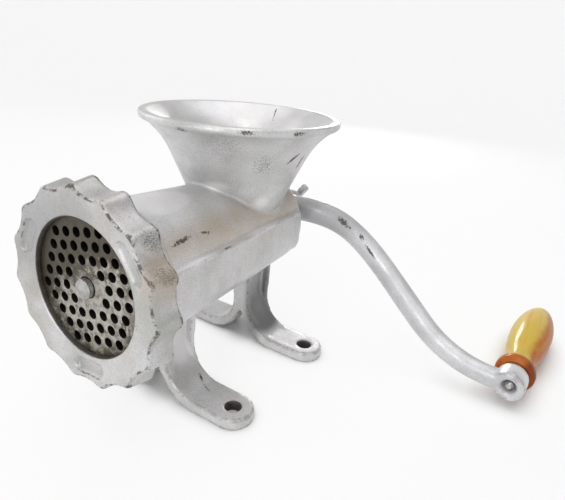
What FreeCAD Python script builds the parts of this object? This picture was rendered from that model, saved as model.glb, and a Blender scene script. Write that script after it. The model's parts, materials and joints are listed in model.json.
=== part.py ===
"""A hand-cranked meat grinder: a footed casting, a feed worm, a knife and plate, a fluted ring and a crank.

Millimetres, +Z up.  The origin is the middle of the four foot holes, on the bench.  The barrel lies along
Y with its plate towards -Y and its crank at the +Y end.
"""
import FreeCAD, Part
import math
import os
import re
import Sketcher

SIZES = {
    # stance of the casting
    "axis_height": 97.0,
    "face_to_feet": 111.5,
    "foot_spacing_x": 104.0,
    "foot_spacing_y": 90.0,
    "foot_hole_dia": 10.0,
    "foot_thick": 7.5,
    "foot_width": 27.0,
    "leg_top_width": 36.0,
    "pillar_thick": 14.0,
    "leg_bend": 24.0,
    "leg_flange": 5.0,
    "leg_recess": 5.0,
    "arch_width": 48.0,
    "arch_rise": 27.0,
    "arch_bend": 33.0,
    # barrel
    "thread_dia": 93.0,
    "collar_length": 16.0,
    "neck_length": 5.0,
    "barrel_front_dia": 83.0,
    "barrel_rear_dia": 69.0,
    "barrel_length": 167.0,
    "barrel_edge": 3.0,
    "bore_dia": 62.0,
    "rear_wall": 13.0,
    "rear_boss_dia": 42.0,
    "rear_boss_length": 8.0,
    "panel_above": 13.5,
    "panel_below": 16.0,
    "panel_proud": 0.6,
    "panel_step": 2.0,
    "panel_margin": 4.0,
    # hopper
    "hopper_to_rear": 37.6,
    "hopper_rim_dia": 132.6,
    "hopper_height": 81.5,
    "hopper_waist_dia": 91.6,
    "hopper_waist_height": 54.2,
    "hopper_foot_dia": 42.4,
    "hopper_flare": 53.0,
    "hopper_wall": 4.5,
    "hopper_bead": 4.4,
    "throat_dia": 52.0,
    "throat_height": 27.0,
    # screw ring
    "ring_opening_dia": 76.0,
    "ring_dish": 2.0,
    "ring_depth": 14.0,
    "ring_lip": 3.6,
    "ring_front_lobe_dia": 110.8,
    "ring_front_valley_dia": 105.0,
    "ring_rear_lobe_dia": 116.0,
    "ring_rear_valley_dia": 107.5,
    "ring_front_round": 5.0,
    "ring_rear_round": 5.5,
    "ring_lobes": 15,
    "ring_lobe_angle": 3.2,
    "ring_edge": 1.5,
    "ring_slots": 3,
    "ring_slot_angle": 35.0,
    "ring_slot_length": 22.0,
    "ring_slot_width": 7.5,
    "ring_slot_depth": 1.8,
    "thread_gap": 0.3,
    # plate and knife
    "plate_dia": 82.0,
    "plate_thick": 8.0,
    "plate_gap": 0.3,
    "plate_hole_dia": 5.7,
    "plate_pitch": 8.55,
    "plate_angle": 12.4,
    "plate_rows": 4,
    "plate_draw": 1.1,
    "key_dia": 6.0,
    "key_gap": 0.4,
    "key_seat": 8.0,
    "knife_dia": 76.0,
    "knife_thick": 8.0,
    "knife_hub_dia": 26.0,
    "knife_blade_width": 13.0,
    "knife_gap": 0.1,
    "knife_blades": 4,
    # worm, stud and shaft
    "worm_core_dia": 32.0,
    "worm_gap": 0.8,
    "worm_pitch": 34.0,
    "flight_root": 9.0,
    "flight_tip": 5.0,
    "flight_front_run": 4.0,
    "flight_rear_run": 6.0,
    "stud_dia": 11.0,
    "stud_square": 12.0,
    "stud_seat": 30.0,
    "stud_proud": 3.2,
    "stud_gap": 0.6,
    "square_gap": 0.15,
    "shaft_dia": 22.0,
    "shaft_square": 15.0,
    "shaft_seat": 36.0,
    "shaft_gap": 0.08,
    "bush_dia": 28.0,
    "bush_proud": 0.4,
    "washer_thick": 2.8,
    "thrust_washer_dia": 46.0,
    "worm_pin_dia": 5.0,
    "end_gap": 0.3,
    # crank
    "crank_throw": 209.6,
    "crank_drop": 22.06,
    "hub_dia": 36.0,
    "hub_thick": 22.0,
    "hub_washer_dia": 36.0,
    "boss_dia": 21.0,
    "boss_ahead": 5.8,
    "boss_behind": 11.5,
    "boss_bore_dia": 10.0,
    "boss_bore_depth": 4.5,
    "grip_splay": 2.8,
    "arm_start_run": 8.4,
    "arm_start_angle": 41.0,
    "arm_mid_angle": 16.8,
    "arm_end_angle": 20.6,
    "arm_bend_in": 55.2,
    "arm_bend_out": 92.5,
    "arm_hopper_gap": 1.5,
    "arm_hub_height": 21.0,
    "arm_hub_thick": 15.0,
    "arm_boss_height": 15.0,
    "arm_boss_thick": 12.0,
    "screw_dia": 8.0,
    "screw_length": 20.0,
    "screw_head_dia": 19.0,
    "screw_head_length": 10.0,
    "wing_span": 39.0,
    "wing_height": 10.0,
    "wing_thick": 5.0,
    "wing_angle": 62.0,
    "crank_washer_dia": 30.0,
    # grip
    "spindle_dia": 8.0,
    "spindle_gap": 0.08,
    "spindle_tail_dia": 5.0,
    "rivet_dia": 6.4,
    "rivet_height": 3.0,
    "spindle_head_dia": 9.6,
    "spindle_head_thick": 3.0,
    "boss_washer_dia": 19.0,
    "small_washer_thick": 1.2,
    "collar_dia": 27.2,
    "collar_thick": 9.4,
    "collar_round": 3.5,
    "grip_length": 111.0,
    "grip_neck_dia": 21.2,
    "grip_waist_dia": 22.8,
    "grip_waist_at": 20.0,
    "grip_dia": 30.6,
    "grip_belly_at": 62.0,
    "grip_shoulder_dia": 23.0,
    "grip_shoulder_at": 95.0,
    "grip_tip_dia": 14.4,
    "grip_tip_at": 108.5,
    "grip_end_dia": 10.6,
}

doc = FreeCAD.newDocument("MeatGrinder")
sheet = doc.addObject("Spreadsheet::Sheet", "Sizes")
for row, (alias, number) in enumerate(SIZES.items(), start=1):
    sheet.set(f"A{row}", alias)
    sheet.set(f"B{row}", str(number))
    sheet.setAlias(f"B{row}", alias)
working = doc.addObject("Spreadsheet::Sheet", "Working")
doc.recompute()

NUDGE = 1.0
X_AXIS = FreeCAD.Vector(1, 0, 0)
Y_AXIS = FreeCAD.Vector(0, 1, 0)
Z_AXIS = FreeCAD.Vector(0, 0, 1)
ORIGIN = FreeCAD.Vector(0, 0, 0)

# Stations along the barrel, counted backwards from the ring's front face
MOUTH = "ring_lip + plate_draw"
PLATE_BACK = "ring_lip + plate_thick"
KNIFE_FRONT = f"({PLATE_BACK} + knife_gap)"
KNIFE_BACK = f"({KNIFE_FRONT} + knife_thick)"
BORE_FRONT = f"({KNIFE_BACK} + end_gap)"
COLLAR_END = f"({MOUTH} + collar_length)"
NECK_END = f"({COLLAR_END} + neck_length)"
BORE_BACK = "(barrel_length - rear_wall)"
BOSS_END = "(barrel_length + rear_boss_length)"
HOPPER_AT = "(barrel_length - hopper_to_rear)"
WORM_FRONT = f"({BORE_FRONT} + end_gap)"
THRUST_BACK = f"({BORE_BACK} - end_gap)"
WORM_BACK = f"({THRUST_BACK} - washer_thick - end_gap)"
HUB_WASHER_FRONT = f"({BOSS_END} + bush_proud + end_gap)"
HUB_FRONT = f"({HUB_WASHER_FRONT} + washer_thick + end_gap)"
HUB_BACK = f"({HUB_FRONT} + hub_thick)"
HUB_MIDDLE = f"({HUB_FRONT} + hub_thick / 2)"
ARM_SET_BACK = f"({HOPPER_AT} + hopper_rim_dia / 2 + arm_hopper_gap + arm_hub_thick / 2 - {HUB_MIDDLE})"
BOSS_FRONT = f"({HUB_MIDDLE} - boss_ahead)"
BOSS_BACK = f"({HUB_MIDDLE} + boss_behind)"
COLLAR_FRONT = f"({BOSS_BACK} + small_washer_thick + end_gap)"
GRIP_FRONT = f"({COLLAR_FRONT} + collar_thick)"
GRIP_BACK = f"({GRIP_FRONT} + grip_length)"


def linked(expression):
    """The same expression, as another object of the document reads it."""
    names = "|".join(sorted(SIZES, key=len, reverse=True))
    return re.sub(rf"\b({names})\b", r"Sizes.\1", expression)


def value(expression):
    """Work out an expression in the sheet's aliases, in a sheet of its own."""
    working.set("A1", "=" + linked(expression))
    working.recompute()
    return float(working.get("A1"))


def bind(item, **expressions):
    """Tie properties of an object to the sheet."""
    for name, expression in expressions.items():
        item.setExpression(name, linked(expression))
    return item


def place(item, x="0", y="0", z="0", rotation=None):
    """Turn an object, then tie its position to the sheet."""
    item.Placement = FreeCAD.Placement(ORIGIN, rotation or FreeCAD.Rotation())
    for axis, expression in zip("xyz", (x, y, z)):
        item.setExpression(f"Placement.Base.{axis}", linked(expression))
    return item


def on_axis(item):
    """Set a turned piece on the barrel's axis: its own Z runs backwards from the ring's front face."""
    return place(item, "0", "-face_to_feet", "axis_height", FreeCAD.Rotation(X_AXIS, -90))


def on_boss(item):
    """Set a turned piece on the grip's axis, which leans outwards a little at the far end of the crank."""
    drop = math.radians(value("crank_drop"))
    tilt = FreeCAD.Rotation(FreeCAD.Vector(-math.sin(drop), 0, -math.cos(drop)), value("grip_splay"))
    reach = f"(crank_throw - {HUB_MIDDLE} * sin(grip_splay * 1deg))"
    across = f"{reach} * cos(crank_drop * 1deg)"
    along = f"{HUB_MIDDLE} * (1 - cos(grip_splay * 1deg)) - face_to_feet"
    height = f"axis_height - {reach} * sin(crank_drop * 1deg)"
    return place(item, across, along, height, tilt * FreeCAD.Rotation(X_AXIS, -90))


def new_body(label):
    """An empty body."""
    body = doc.addObject("PartDesign::Body", label)
    body.Label = label
    return body


def origin_plane(body, role):
    """One of a body's own origin planes."""
    return [plane for plane in body.Origin.OriginFeatures if plane.Role == role][0]


def arc_middle(start, end, radius, side):
    """Middle of the arc between two points that bulges to the left (1) or the right (-1) of its chord."""
    chord = end - start
    half = chord.Length / 2
    sagitta = radius - math.sqrt(radius ** 2 - half ** 2)
    normal = FreeCAD.Vector(-chord.y, chord.x, 0).normalize()
    return (start + end) / 2 + normal * sagitta * side


def outline(body, role, corners, bends=None):
    """Draw a closed outline through corners given as expressions; bends gives a side's radius and bulge."""
    bends = bends or {}
    sketch = body.newObject("Sketcher::SketchObject", body.Name + "Outline")
    sketch.AttachmentSupport = (origin_plane(body, role), [""])
    sketch.MapMode = "FlatFace"
    points = [FreeCAD.Vector(value(across), value(up), 0) for across, up in corners]
    ends = []
    for number, start in enumerate(points):
        end = points[(number + 1) % len(points)]
        if number in bends:
            radius, bulge = bends[number]
            middle = arc_middle(start, end, value(radius), bulge)
            side = sketch.addGeometry(Part.Arc(start, middle, end))
            sketch.setExpression(
                f"Constraints[{sketch.addConstraint(Sketcher.Constraint('Radius', side, value(radius)))}]",
                linked(radius))
        else:
            side = sketch.addGeometry(Part.LineSegment(start, end))
        from_start = [sketch.getPoint(side, end_number).distanceToPoint(start) for end_number in (1, 2)]
        ends.append((side, 1, 2) if from_start[0] < from_start[1] else (side, 2, 1))
    for number, (side, first, last) in enumerate(ends):
        next_side, next_first, _ = ends[(number + 1) % len(ends)]
        sketch.addConstraint(Sketcher.Constraint("Coincident", side, last, next_side, next_first))
        for kind, axis, expression in zip(("DistanceX", "DistanceY"), (-2, -1), corners[number]):
            if expression == "0":
                sketch.addConstraint(Sketcher.Constraint("PointOnObject", side, first, axis))
                continue
            fixed = sketch.addConstraint(Sketcher.Constraint(kind, side, first, value(expression)))
            sketch.setExpression(f"Constraints[{fixed}]", linked(expression))
    doc.recompute()
    return sketch


def turned(label, corners, bends=None):
    """A body turned about its own Z from an outline of (radius, station) corners."""
    body = new_body(label)
    sketch = outline(body, "XZ_Plane", corners, bends)
    turn = body.newObject("PartDesign::Revolution", label + "Turn")
    turn.Profile = sketch
    turn.ReferenceAxis = (sketch, ["V_Axis"])
    turn.Angle = 360
    return body


def padded(label, role, corners, length, bends=None):
    """A body padded evenly to both sides of one of its planes."""
    body = new_body(label)
    sketch = outline(body, role, corners, bends)
    pad = body.newObject("PartDesign::Pad", label + "Pad")
    pad.Profile = sketch
    pad.SideType = "Symmetric"
    bind(pad, Length=length)
    return body


def cylinder(label, diameter, height):
    """A round bar standing on its own origin."""
    return bind(doc.addObject("Part::Cylinder", label), Radius=f"({diameter}) / 2", Height=height)


def block(label, length, width, height):
    """A plain block with one corner at its own origin."""
    return bind(doc.addObject("Part::Box", label), Length=length, Width=width, Height=height)


def fused(label, shapes):
    """Several overlapping solids made one."""
    joined = doc.addObject("Part::MultiFuse", label)
    joined.Shapes = shapes
    joined.Label = label
    return joined


def cut(label, base, tool):
    """One solid less another."""
    rest = doc.addObject("Part::Cut", label)
    rest.Base = base
    rest.Tool = tool
    rest.Label = label
    return rest


def common(label, base, tool):
    """What two solids share."""
    shared = doc.addObject("Part::Common", label)
    shared.Base = base
    shared.Tool = tool
    return shared


def feature(label, shape):
    """An object that holds a shape worked out below."""
    item = doc.addObject("Part::Feature", label)
    item.Shape = shape
    item.Label = label
    return item


def washer(label, outer, inner, front, thick):
    """A flat washer on its own Z, its front face at the given station."""
    return turned(label, [
        (f"({inner}) / 2", front),
        (f"({outer}) / 2", front),
        (f"({outer}) / 2", f"{front} + {thick}"),
        (f"({inner}) / 2", f"{front} + {thick}"),
    ])


def leg_sides(name, y, inset):
    """The tapering front and rear limits of a pair of legs, drawn in by an inset on each side."""
    top = f"(leg_top_width / 2 - {inset})"
    foot = f"(foot_width / 2 - {inset})"
    sides = padded(name, "YZ_Plane", [
        (f"-{top}", "axis_height"),
        (f"-{foot}", "foot_thick"),
        (f"-{foot}", "-foot_thick"),
        (foot, "-foot_thick"),
        (foot, "foot_thick"),
        (top, "axis_height"),
    ], "2 * foot_spacing_x")
    return place(sides, "0", y)


def leg_pair(name, y):
    """One pillar that splits into two feet, with a channel down the outside of each leg."""
    half = "pillar_thick / 2"
    top = "(axis_height - bore_dia / 2 - leg_flange / 3)"
    bend_top = "(foot_thick + leg_bend)"
    bend_out = f"({half} + leg_bend)"
    reach = "foot_spacing_x / 2"
    arch = padded(name + "Arch", "XZ_Plane", [
        (f"-{half}", top),
        (f"-{half}", bend_top),
        (f"-{bend_out}", "foot_thick"),
        (f"-{reach}", "foot_thick"),
        (f"-{reach}", "0"),
        ("-arch_width / 2", "0"),
        ("0", "arch_rise"),
        ("arch_width / 2", "0"),
        (reach, "0"),
        (reach, "foot_thick"),
        (bend_out, "foot_thick"),
        (half, bend_top),
        (half, top),
    ], "leg_top_width", {
        1: ("leg_bend", 1),
        5: ("arch_bend", -1),
        6: ("arch_bend", -1),
        10: ("leg_bend", 1),
    })
    place(arch, "0", y)
    legs = common(name + "Legs", arch, leg_sides(name + "Sides", y, "0"))
    web = f"({half} - leg_recess)"
    floor_end = f"({bend_out} - leg_recess)"
    floor_bend = "(leg_bend + 2 * leg_recess)"
    floor_top = f"(foot_thick + sqrt({floor_bend} ^ 2 - ({web} + {floor_bend} - {floor_end}) ^ 2))"
    channel = padded(name + "Channel", "XZ_Plane", [
        (web, "axis_height"),
        (web, floor_top),
        (floor_end, "foot_thick"),
        (reach, "foot_thick"),
        (reach, "axis_height"),
    ], "leg_top_width", {1: (floor_bend, -1)})
    place(channel, "0", y)
    near = common(name + "Near", channel, leg_sides(name + "Inside", y, "leg_flange"))
    far = doc.addObject("Part::Mirroring", name + "Far")
    far.Source = near
    far.Normal = X_AXIS
    pads = []
    for side, sign in (("Left", "-"), ("Right", "")):
        pad = cylinder(name + side, "foot_width", "foot_thick")
        pads.append(place(pad, f"{sign}foot_spacing_x / 2", y))
    return cut(name, fused(name + "Solid", [legs] + pads), fused(name + "Channels", [near, far]))


def make_casting():
    """The body: barrel, hopper, two side panels and four feet in one piece."""
    barrel = on_axis(turned("BarrelOutside", [
        ("0", MOUTH),
        ("thread_dia / 2", MOUTH),
        ("thread_dia / 2", COLLAR_END),
        ("barrel_front_dia / 2", NECK_END),
        ("barrel_rear_dia / 2", "barrel_length - barrel_edge"),
        ("barrel_rear_dia / 2 - barrel_edge", "barrel_length"),
        ("rear_boss_dia / 2", "barrel_length"),
        ("rear_boss_dia / 2", BOSS_END),
        ("0", BOSS_END),
    ], {4: ("barrel_edge", -1)}))
    bore = on_axis(turned("BarrelInside", [
        ("0", f"{MOUTH} - plate_draw"),
        ("plate_dia / 2 + plate_gap", f"{MOUTH} - plate_draw"),
        ("plate_dia / 2 + plate_gap", BORE_FRONT),
        ("bore_dia / 2", BORE_FRONT),
        ("bore_dia / 2", BORE_BACK),
        ("bush_dia / 2", BORE_BACK),
        ("bush_dia / 2", f"{BOSS_END} + rear_wall"),
        ("0", f"{BOSS_END} + rear_wall"),
    ]))
    rim = "hopper_rim_dia / 2"
    bead_low = "(hopper_height - hopper_bead)"
    hopper_y = f"{HOPPER_AT} - face_to_feet"
    hopper = place(turned("HopperOutside", [
        ("0", "0"),
        ("hopper_foot_dia / 2", "0"),
        ("hopper_waist_dia / 2", "hopper_waist_height"),
        (f"{rim} - hopper_bead", f"{bead_low} - hopper_bead / 2"),
        (rim, bead_low),
        (rim, "hopper_height - hopper_bead / 3"),
        (f"{rim} - hopper_bead / 3", "hopper_height"),
        ("0", "hopper_height"),
    ], {2: ("hopper_flare", 1), 5: ("hopper_bead / 3", -1)}), "0", hopper_y, "axis_height")
    throat = place(turned("HopperInside", [
        ("0", "0"),
        ("throat_dia / 2", "0"),
        ("throat_dia / 2", "throat_height"),
        ("hopper_waist_dia / 2 - hopper_wall", "hopper_waist_height + hopper_wall / 3"),
        (f"{rim} - hopper_bead * 1.4", "hopper_height - hopper_bead / 3"),
        (f"{rim} - hopper_bead * 1.1", "hopper_height"),
        (f"{rim} - hopper_bead * 1.1", "hopper_height + hopper_wall"),
        ("0", "hopper_height + hopper_wall"),
    ], {3: ("hopper_flare", 1)}), "0", hopper_y, "axis_height")
    front_x = "(barrel_front_dia / 2 + panel_proud)"
    rear_x = "(barrel_rear_dia / 2 + panel_proud)"
    panel_front = f"({NECK_END} - face_to_feet)"
    panel_rear = "(barrel_length - panel_margin - face_to_feet)"
    panel = padded("SidePanels", "XY_Plane", [
        (f"-{front_x}", panel_front),
        (front_x, panel_front),
        (rear_x, panel_rear),
        (f"-{rear_x}", panel_rear),
    ], "panel_above + panel_below")
    place(panel, "0", "0", "axis_height + (panel_above - panel_below) / 2")
    limit = on_axis(turned("PanelLimit", [
        ("0", MOUTH),
        ("barrel_front_dia / 2 + panel_step", MOUTH),
        ("barrel_front_dia / 2 + panel_step", NECK_END),
        ("barrel_rear_dia / 2 + panel_step", "barrel_length"),
        ("0", "barrel_length"),
    ]))
    solids = [barrel, hopper, common("PanelsTrimmed", panel, limit)]
    for name, sign in (("FrontPillar", "-"), ("RearPillar", "")):
        solids.append(leg_pair(name, f"{sign}foot_spacing_y / 2"))
    tools = [bore, throat]
    for along in ("-", ""):
        for across in ("-", ""):
            hole = cylinder("FootHole", "foot_hole_dia", "3 * foot_thick")
            place(hole, f"{across}foot_spacing_x / 2", f"{along}foot_spacing_y / 2", "-foot_thick")
            tools.append(hole)
    tools.append(key_bar("KeySeat", "key_dia", f"{MOUTH} - plate_draw", f"{BORE_FRONT} + key_seat"))
    cut("body_casting", fused("CastingSolid", solids), fused("CastingHollows", tools))


def key_bar(label, diameter, front, back):
    """A round bar along the barrel, at the foot of the mouth's wall."""
    bar = cylinder(label, diameter, f"{back} - ({front})")
    height = "axis_height - plate_dia / 2 - plate_gap"
    return place(bar, "0", f"{front} - face_to_feet", height, FreeCAD.Rotation(X_AXIS, -90))


def polar(radius, angle, station):
    """A point at a radius and an angle in radians, in the plane of a station."""
    return FreeCAD.Vector(radius * math.cos(angle), radius * math.sin(angle), station)


def lobed_wire(tip, valley, lobe, station):
    """A fluted outline: round lobes with hollows that run into them smoothly."""
    lobes = int(value("ring_lobes"))
    step = math.pi / lobes
    lobe_centre = tip - lobe
    turn = math.cos(step)
    spare = lobe_centre ** 2 + valley ** 2 - 2 * lobe_centre * valley * turn - lobe ** 2
    hollow = spare / (2 * (lobe + lobe_centre * turn - valley))
    share = lobe / (lobe + hollow)

    def joint(middle, way):
        centre = polar(lobe_centre, middle, station)
        return centre + (polar(valley + hollow, middle + way * step, station) - centre) * share

    edges = []
    for number in range(lobes):
        middle = math.radians(value("ring_lobe_angle")) + 2 * number * step
        crest = polar(tip, middle, station)
        edges.append(Part.Arc(joint(middle, -1), crest, joint(middle, 1)).toShape())
        trough = polar(valley, middle + step, station)
        edges.append(Part.Arc(joint(middle, 1), trough, joint(middle + 2 * step, -1)).toShape())
    return Part.Wire(edges)


def make_ring():
    """The fluted, flaring screw ring that clamps the plate, with three spanner pockets in its dished face."""
    front = -value("ring_dish")
    back = value("ring_depth")
    front_tip = value("ring_front_lobe_dia / 2")
    front_valley = value("ring_front_valley_dia / 2")
    rear_tip = value("ring_rear_lobe_dia / 2")
    rear_valley = value("ring_rear_valley_dia / 2")
    blank = Part.makeLoft([
        lobed_wire(front_tip, front_valley, value("ring_front_round"), front),
        lobed_wire(rear_tip, rear_valley, value("ring_rear_round"), back),
    ], True, True)
    rims = [edge for edge in blank.Edges if abs(edge.BoundBox.ZLength) < 1e-6]
    blank = blank.makeFillet(value("ring_edge"), rims)
    opening = value("ring_opening_dia / 2")
    thread = value("thread_dia / 2 + thread_gap")
    bore = Part.makeCylinder(opening, back - 2 * front, Z_AXIS * 2 * front)
    bore = bore.fuse(Part.makeCylinder(thread, back, Z_AXIS * value("ring_lip")))
    face_edge = front_valley - value("ring_edge")
    slope = (face_edge - opening) / -front
    dish = Part.makeCone(opening - 2 * slope * front, opening, -2 * front, Z_AXIS * 2 * front)
    length = value("ring_slot_length - ring_slot_width")
    width = value("ring_slot_width")
    sunk = value("ring_slot_depth") + front / 2
    middle = (opening + face_edge) / 2
    pockets = []
    for number in range(int(value("ring_slots"))):
        base = 2 * front
        pocket = Part.makeBox(width, length, sunk - base, FreeCAD.Vector(-width / 2, -length / 2, base))
        for end in (-length / 2, length / 2):
            pocket = pocket.fuse(Part.makeCylinder(width / 2, sunk - base, FreeCAD.Vector(0, end, base)))
        pocket.translate(X_AXIS * middle)
        pocket.rotate(ORIGIN, Z_AXIS, -value("ring_slot_angle") + 360 * number / value("ring_slots"))
        pockets.append(pocket.removeSplitter())
    on_axis(feature("ring_nut", blank.cut([bore, dish] + pockets)))


def make_plate():
    """The cutting plate: a six-sided field of holes round a centre bearing, with a notch for the key."""
    disc = washer("PlateDisc", "plate_dia", "stud_dia + 2 * stud_gap", "ring_lip", "plate_thick")
    radius = value("plate_hole_dia / 2")
    pitch = value("plate_pitch")
    rows = int(value("plate_rows"))
    start = value("ring_lip") - NUDGE
    length = value("plate_thick") + 2 * NUDGE
    turn = FreeCAD.Rotation(Z_AXIS, -value("plate_angle"))
    drills = []
    for row in range(-rows, rows + 1):
        count = 2 * rows + 1 - abs(row)
        for place_in_row in range(count):
            x = (place_in_row - (count - 1) / 2) * pitch
            y = row * pitch * math.sqrt(3) / 2
            if math.hypot(x, y) > 1.1 * pitch:
                drills.append(Part.makeCylinder(radius, length, turn.multVec(FreeCAD.Vector(x, y, start))))
    holes = feature("PlateHoles", Part.makeCompound(drills))
    notch = key_bar("PlateNotch", "key_dia + 2 * key_gap", "0", f"{PLATE_BACK} + knife_thick")
    drilled = on_axis(cut("PlateDrilled", disc, holes))
    cut("cutting_plate", drilled, notch)


def make_knife():
    """The cross-shaped knife that turns against the back of the plate."""
    hub = cylinder("KnifeHub", "knife_hub_dia", "knife_thick")
    arms = [hub]
    for number in range(int(value("knife_blades / 2"))):
        arm = block(f"KnifeArm{number}", "knife_dia", "knife_blade_width", "knife_thick")
        turn = FreeCAD.Rotation(Z_AXIS, 180 * number / value("knife_blades / 2"))
        corner = turn.multVec(FreeCAD.Vector(-value("knife_dia / 2"), -value("knife_blade_width / 2"), 0))
        arm.Placement = FreeCAD.Placement(corner, turn)
        arms.append(arm)
    sweep = cylinder("KnifeSweep", "knife_dia", "knife_thick")
    blank = common("KnifeBlank", fused("KnifeArms", arms), sweep)
    square = square_bar("KnifeSquare", "stud_square + 2 * square_gap", "-knife_thick", "3 * knife_thick")
    knife = cut("cross_knife", blank, square)
    place(knife, "0", f"{KNIFE_FRONT} - face_to_feet", "axis_height", FreeCAD.Rotation(X_AXIS, -90))


def square_bar(label, side, start, length):
    """A square bar along its own Z, centred on it."""
    bar = block(label, side, side, length)
    return place(bar, f"-({side}) / 2", f"-({side}) / 2", start)


def make_worm():
    """The feed worm: a left-hand flight on a core, so that turning the crank clockwise feeds forwards."""
    front = value(WORM_FRONT)
    back = value(WORM_BACK)
    core_radius = value("worm_core_dia / 2")
    tip_radius = value("bore_dia / 2 - worm_gap")
    pitch = value("worm_pitch")
    root = value("flight_root") / 2
    tip = value("flight_tip") / 2
    inner = core_radius - NUDGE
    start = front + value("flight_front_run") + root
    length = back - value("flight_rear_run") - root - start
    spine = Part.makeHelix(pitch, length, inner, 0, True)
    corners = [(inner, -root), (tip_radius, -tip), (tip_radius, tip), (inner, root)]
    section = Part.makePolygon([FreeCAD.Vector(r, 0, z) for r, z in corners + corners[:1]])
    shell = Part.BRepOffsetAPI.MakePipeShell(Part.Wire(spine.Edges))
    shell.setFrenetMode(True)
    shell.add(section)
    shell.build()
    shell.makeSolid()
    flight = shell.shape()
    flight.translate(Z_AXIS * start)
    core = Part.makeCylinder(core_radius, back - front, Z_AXIS * front)
    worm = core.fuse(flight)
    stud_hole = Part.makeCylinder(value("stud_square / 2"), value("stud_seat"), Z_AXIS * front)
    shaft_base = Z_AXIS * (back - value("shaft_seat"))
    shaft_hole = Part.makeCylinder(value("shaft_dia / 2"), value("shaft_seat"), shaft_base)
    on_axis(feature("feed_worm", worm.cut([stud_hole, shaft_hole, worm_pin_bar()])))


def worm_pin_bar():
    """The cross pin through the worm's core and its shaft, in the worm's own frame."""
    station = value(f"{WORM_BACK} - shaft_seat / 2")
    length = value("worm_core_dia")
    base = FreeCAD.Vector(-length / 2, 0, station)
    return Part.makeCylinder(value("worm_pin_dia / 2"), length, base, X_AXIS)


def make_drive():
    """The stud in front of the worm, the shaft behind it, and what they run in."""
    seat = f"({WORM_FRONT} + stud_seat)"
    pilot = turned("StudRound", [
        ("0", "ring_lip - stud_proud"),
        ("stud_dia / 2 - end_gap", "ring_lip - stud_proud"),
        ("stud_dia / 2", "ring_lip - stud_proud + end_gap"),
        ("stud_dia / 2", WORM_FRONT),
        ("stud_square / 2", WORM_FRONT),
        ("stud_square / 2", seat),
        ("0", seat),
    ])
    square = square_bar("StudSquare", "stud_square", KNIFE_FRONT, f"{WORM_FRONT} - {KNIFE_FRONT}")
    on_axis(fused("worm_stud", [pilot, square]))
    on_axis(feature("worm_pin", worm_pin_bar()))
    shaft_front = f"({WORM_BACK} - shaft_seat)"
    square_end = f"({HUB_BACK} - end_gap)"
    shaft_round = turned("ShaftRound", [
        ("0", shaft_front),
        ("shaft_dia / 2", shaft_front),
        ("shaft_dia / 2", HUB_FRONT),
        ("0", HUB_FRONT),
    ])
    square_start = f"({HUB_FRONT} - end_gap)"
    drive = square_bar("ShaftSquare", "shaft_square", square_start, f"{square_end} - {square_start}")
    tapped = cylinder("ShaftTapping", "screw_dia", "screw_length + hub_thick")
    place(tapped, "0", "0", f"{HUB_BACK} - screw_length")
    pin_hole = feature("ShaftPinHole", worm_pin_bar())
    bar = fused("ShaftBar", [shaft_round, drive])
    on_axis(cut("drive_shaft", bar, fused("ShaftHoles", [tapped, pin_hole])))
    on_axis(washer("rear_bush", "bush_dia", "shaft_dia + 2 * shaft_gap", BORE_BACK,
                   "rear_wall + rear_boss_length + bush_proud"))
    on_axis(washer("thrust_washer", "thrust_washer_dia", "shaft_dia + 2 * shaft_gap",
                   f"{THRUST_BACK} - washer_thick", "washer_thick"))
    on_axis(washer("hub_washer", "hub_washer_dia", "shaft_dia + 2 * shaft_gap",
                   HUB_WASHER_FRONT, "washer_thick"))


def arm_set_back(across):
    """How far behind the hub's middle the arm is at a distance from its axis, to pass behind the hopper."""
    hub_edge = value("hub_dia / 2")
    boss_edge = value("crank_throw - boss_dia / 2")
    rim = value("hopper_height - hopper_bead")
    if across < rim:
        share = max(across - hub_edge, 0) / (rim - hub_edge)
    else:
        share = max(boss_edge - across, 0) / (boss_edge - rim)
    return value(ARM_SET_BACK) * share ** 2 * (3 - 2 * share)


def arm_stations():
    """Points and headings down the middle of the crank's arm, from hub to boss, with the throw along X."""
    throw = value("crank_throw")
    start = math.radians(value("arm_start_angle"))
    mid = -math.radians(value("arm_mid_angle"))
    end = math.radians(value("arm_end_angle"))
    bend_in = value("arm_bend_in")
    bend_out = value("arm_bend_out")
    run = value("arm_start_run")
    across = run * math.cos(start) + bend_in * (math.sin(start) - math.sin(mid))
    up = run * math.sin(start) + bend_in * (math.cos(mid) - math.cos(start))
    across_out = bend_out * (math.sin(end) - math.sin(mid))
    up_out = bend_out * (math.cos(mid) - math.cos(end))
    need_x = throw - across - across_out
    need_y = -up - up_out
    spread = math.sin(end - mid)
    straight = (need_x * math.sin(end) - need_y * math.cos(end)) / spread
    last = (need_y * math.cos(mid) - need_x * math.sin(mid)) / spread
    legs = [
        (run, start, start),
        (bend_in * (start - mid), start, mid),
        (straight, mid, mid),
        (bend_out * (end - mid), mid, end),
        (last, end, end),
    ]
    stations = [(FreeCAD.Vector(0, 0, 0), start)]
    for length, heading, final in legs:
        pieces = 5 if heading != final else 2
        step = length / pieces
        turn = (final - heading) / pieces
        for piece in range(pieces):
            chord = step * (math.sin(turn / 2) / (turn / 2) if turn else 1)
            mean = heading + turn * (piece + 0.5)
            point = stations[-1][0] + FreeCAD.Vector(chord * math.cos(mean), chord * math.sin(mean), 0)
            stations.append((point, heading + turn * (piece + 1)))
    return [(point - Z_AXIS * arm_set_back(point.x), heading) for point, heading in stations]


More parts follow.
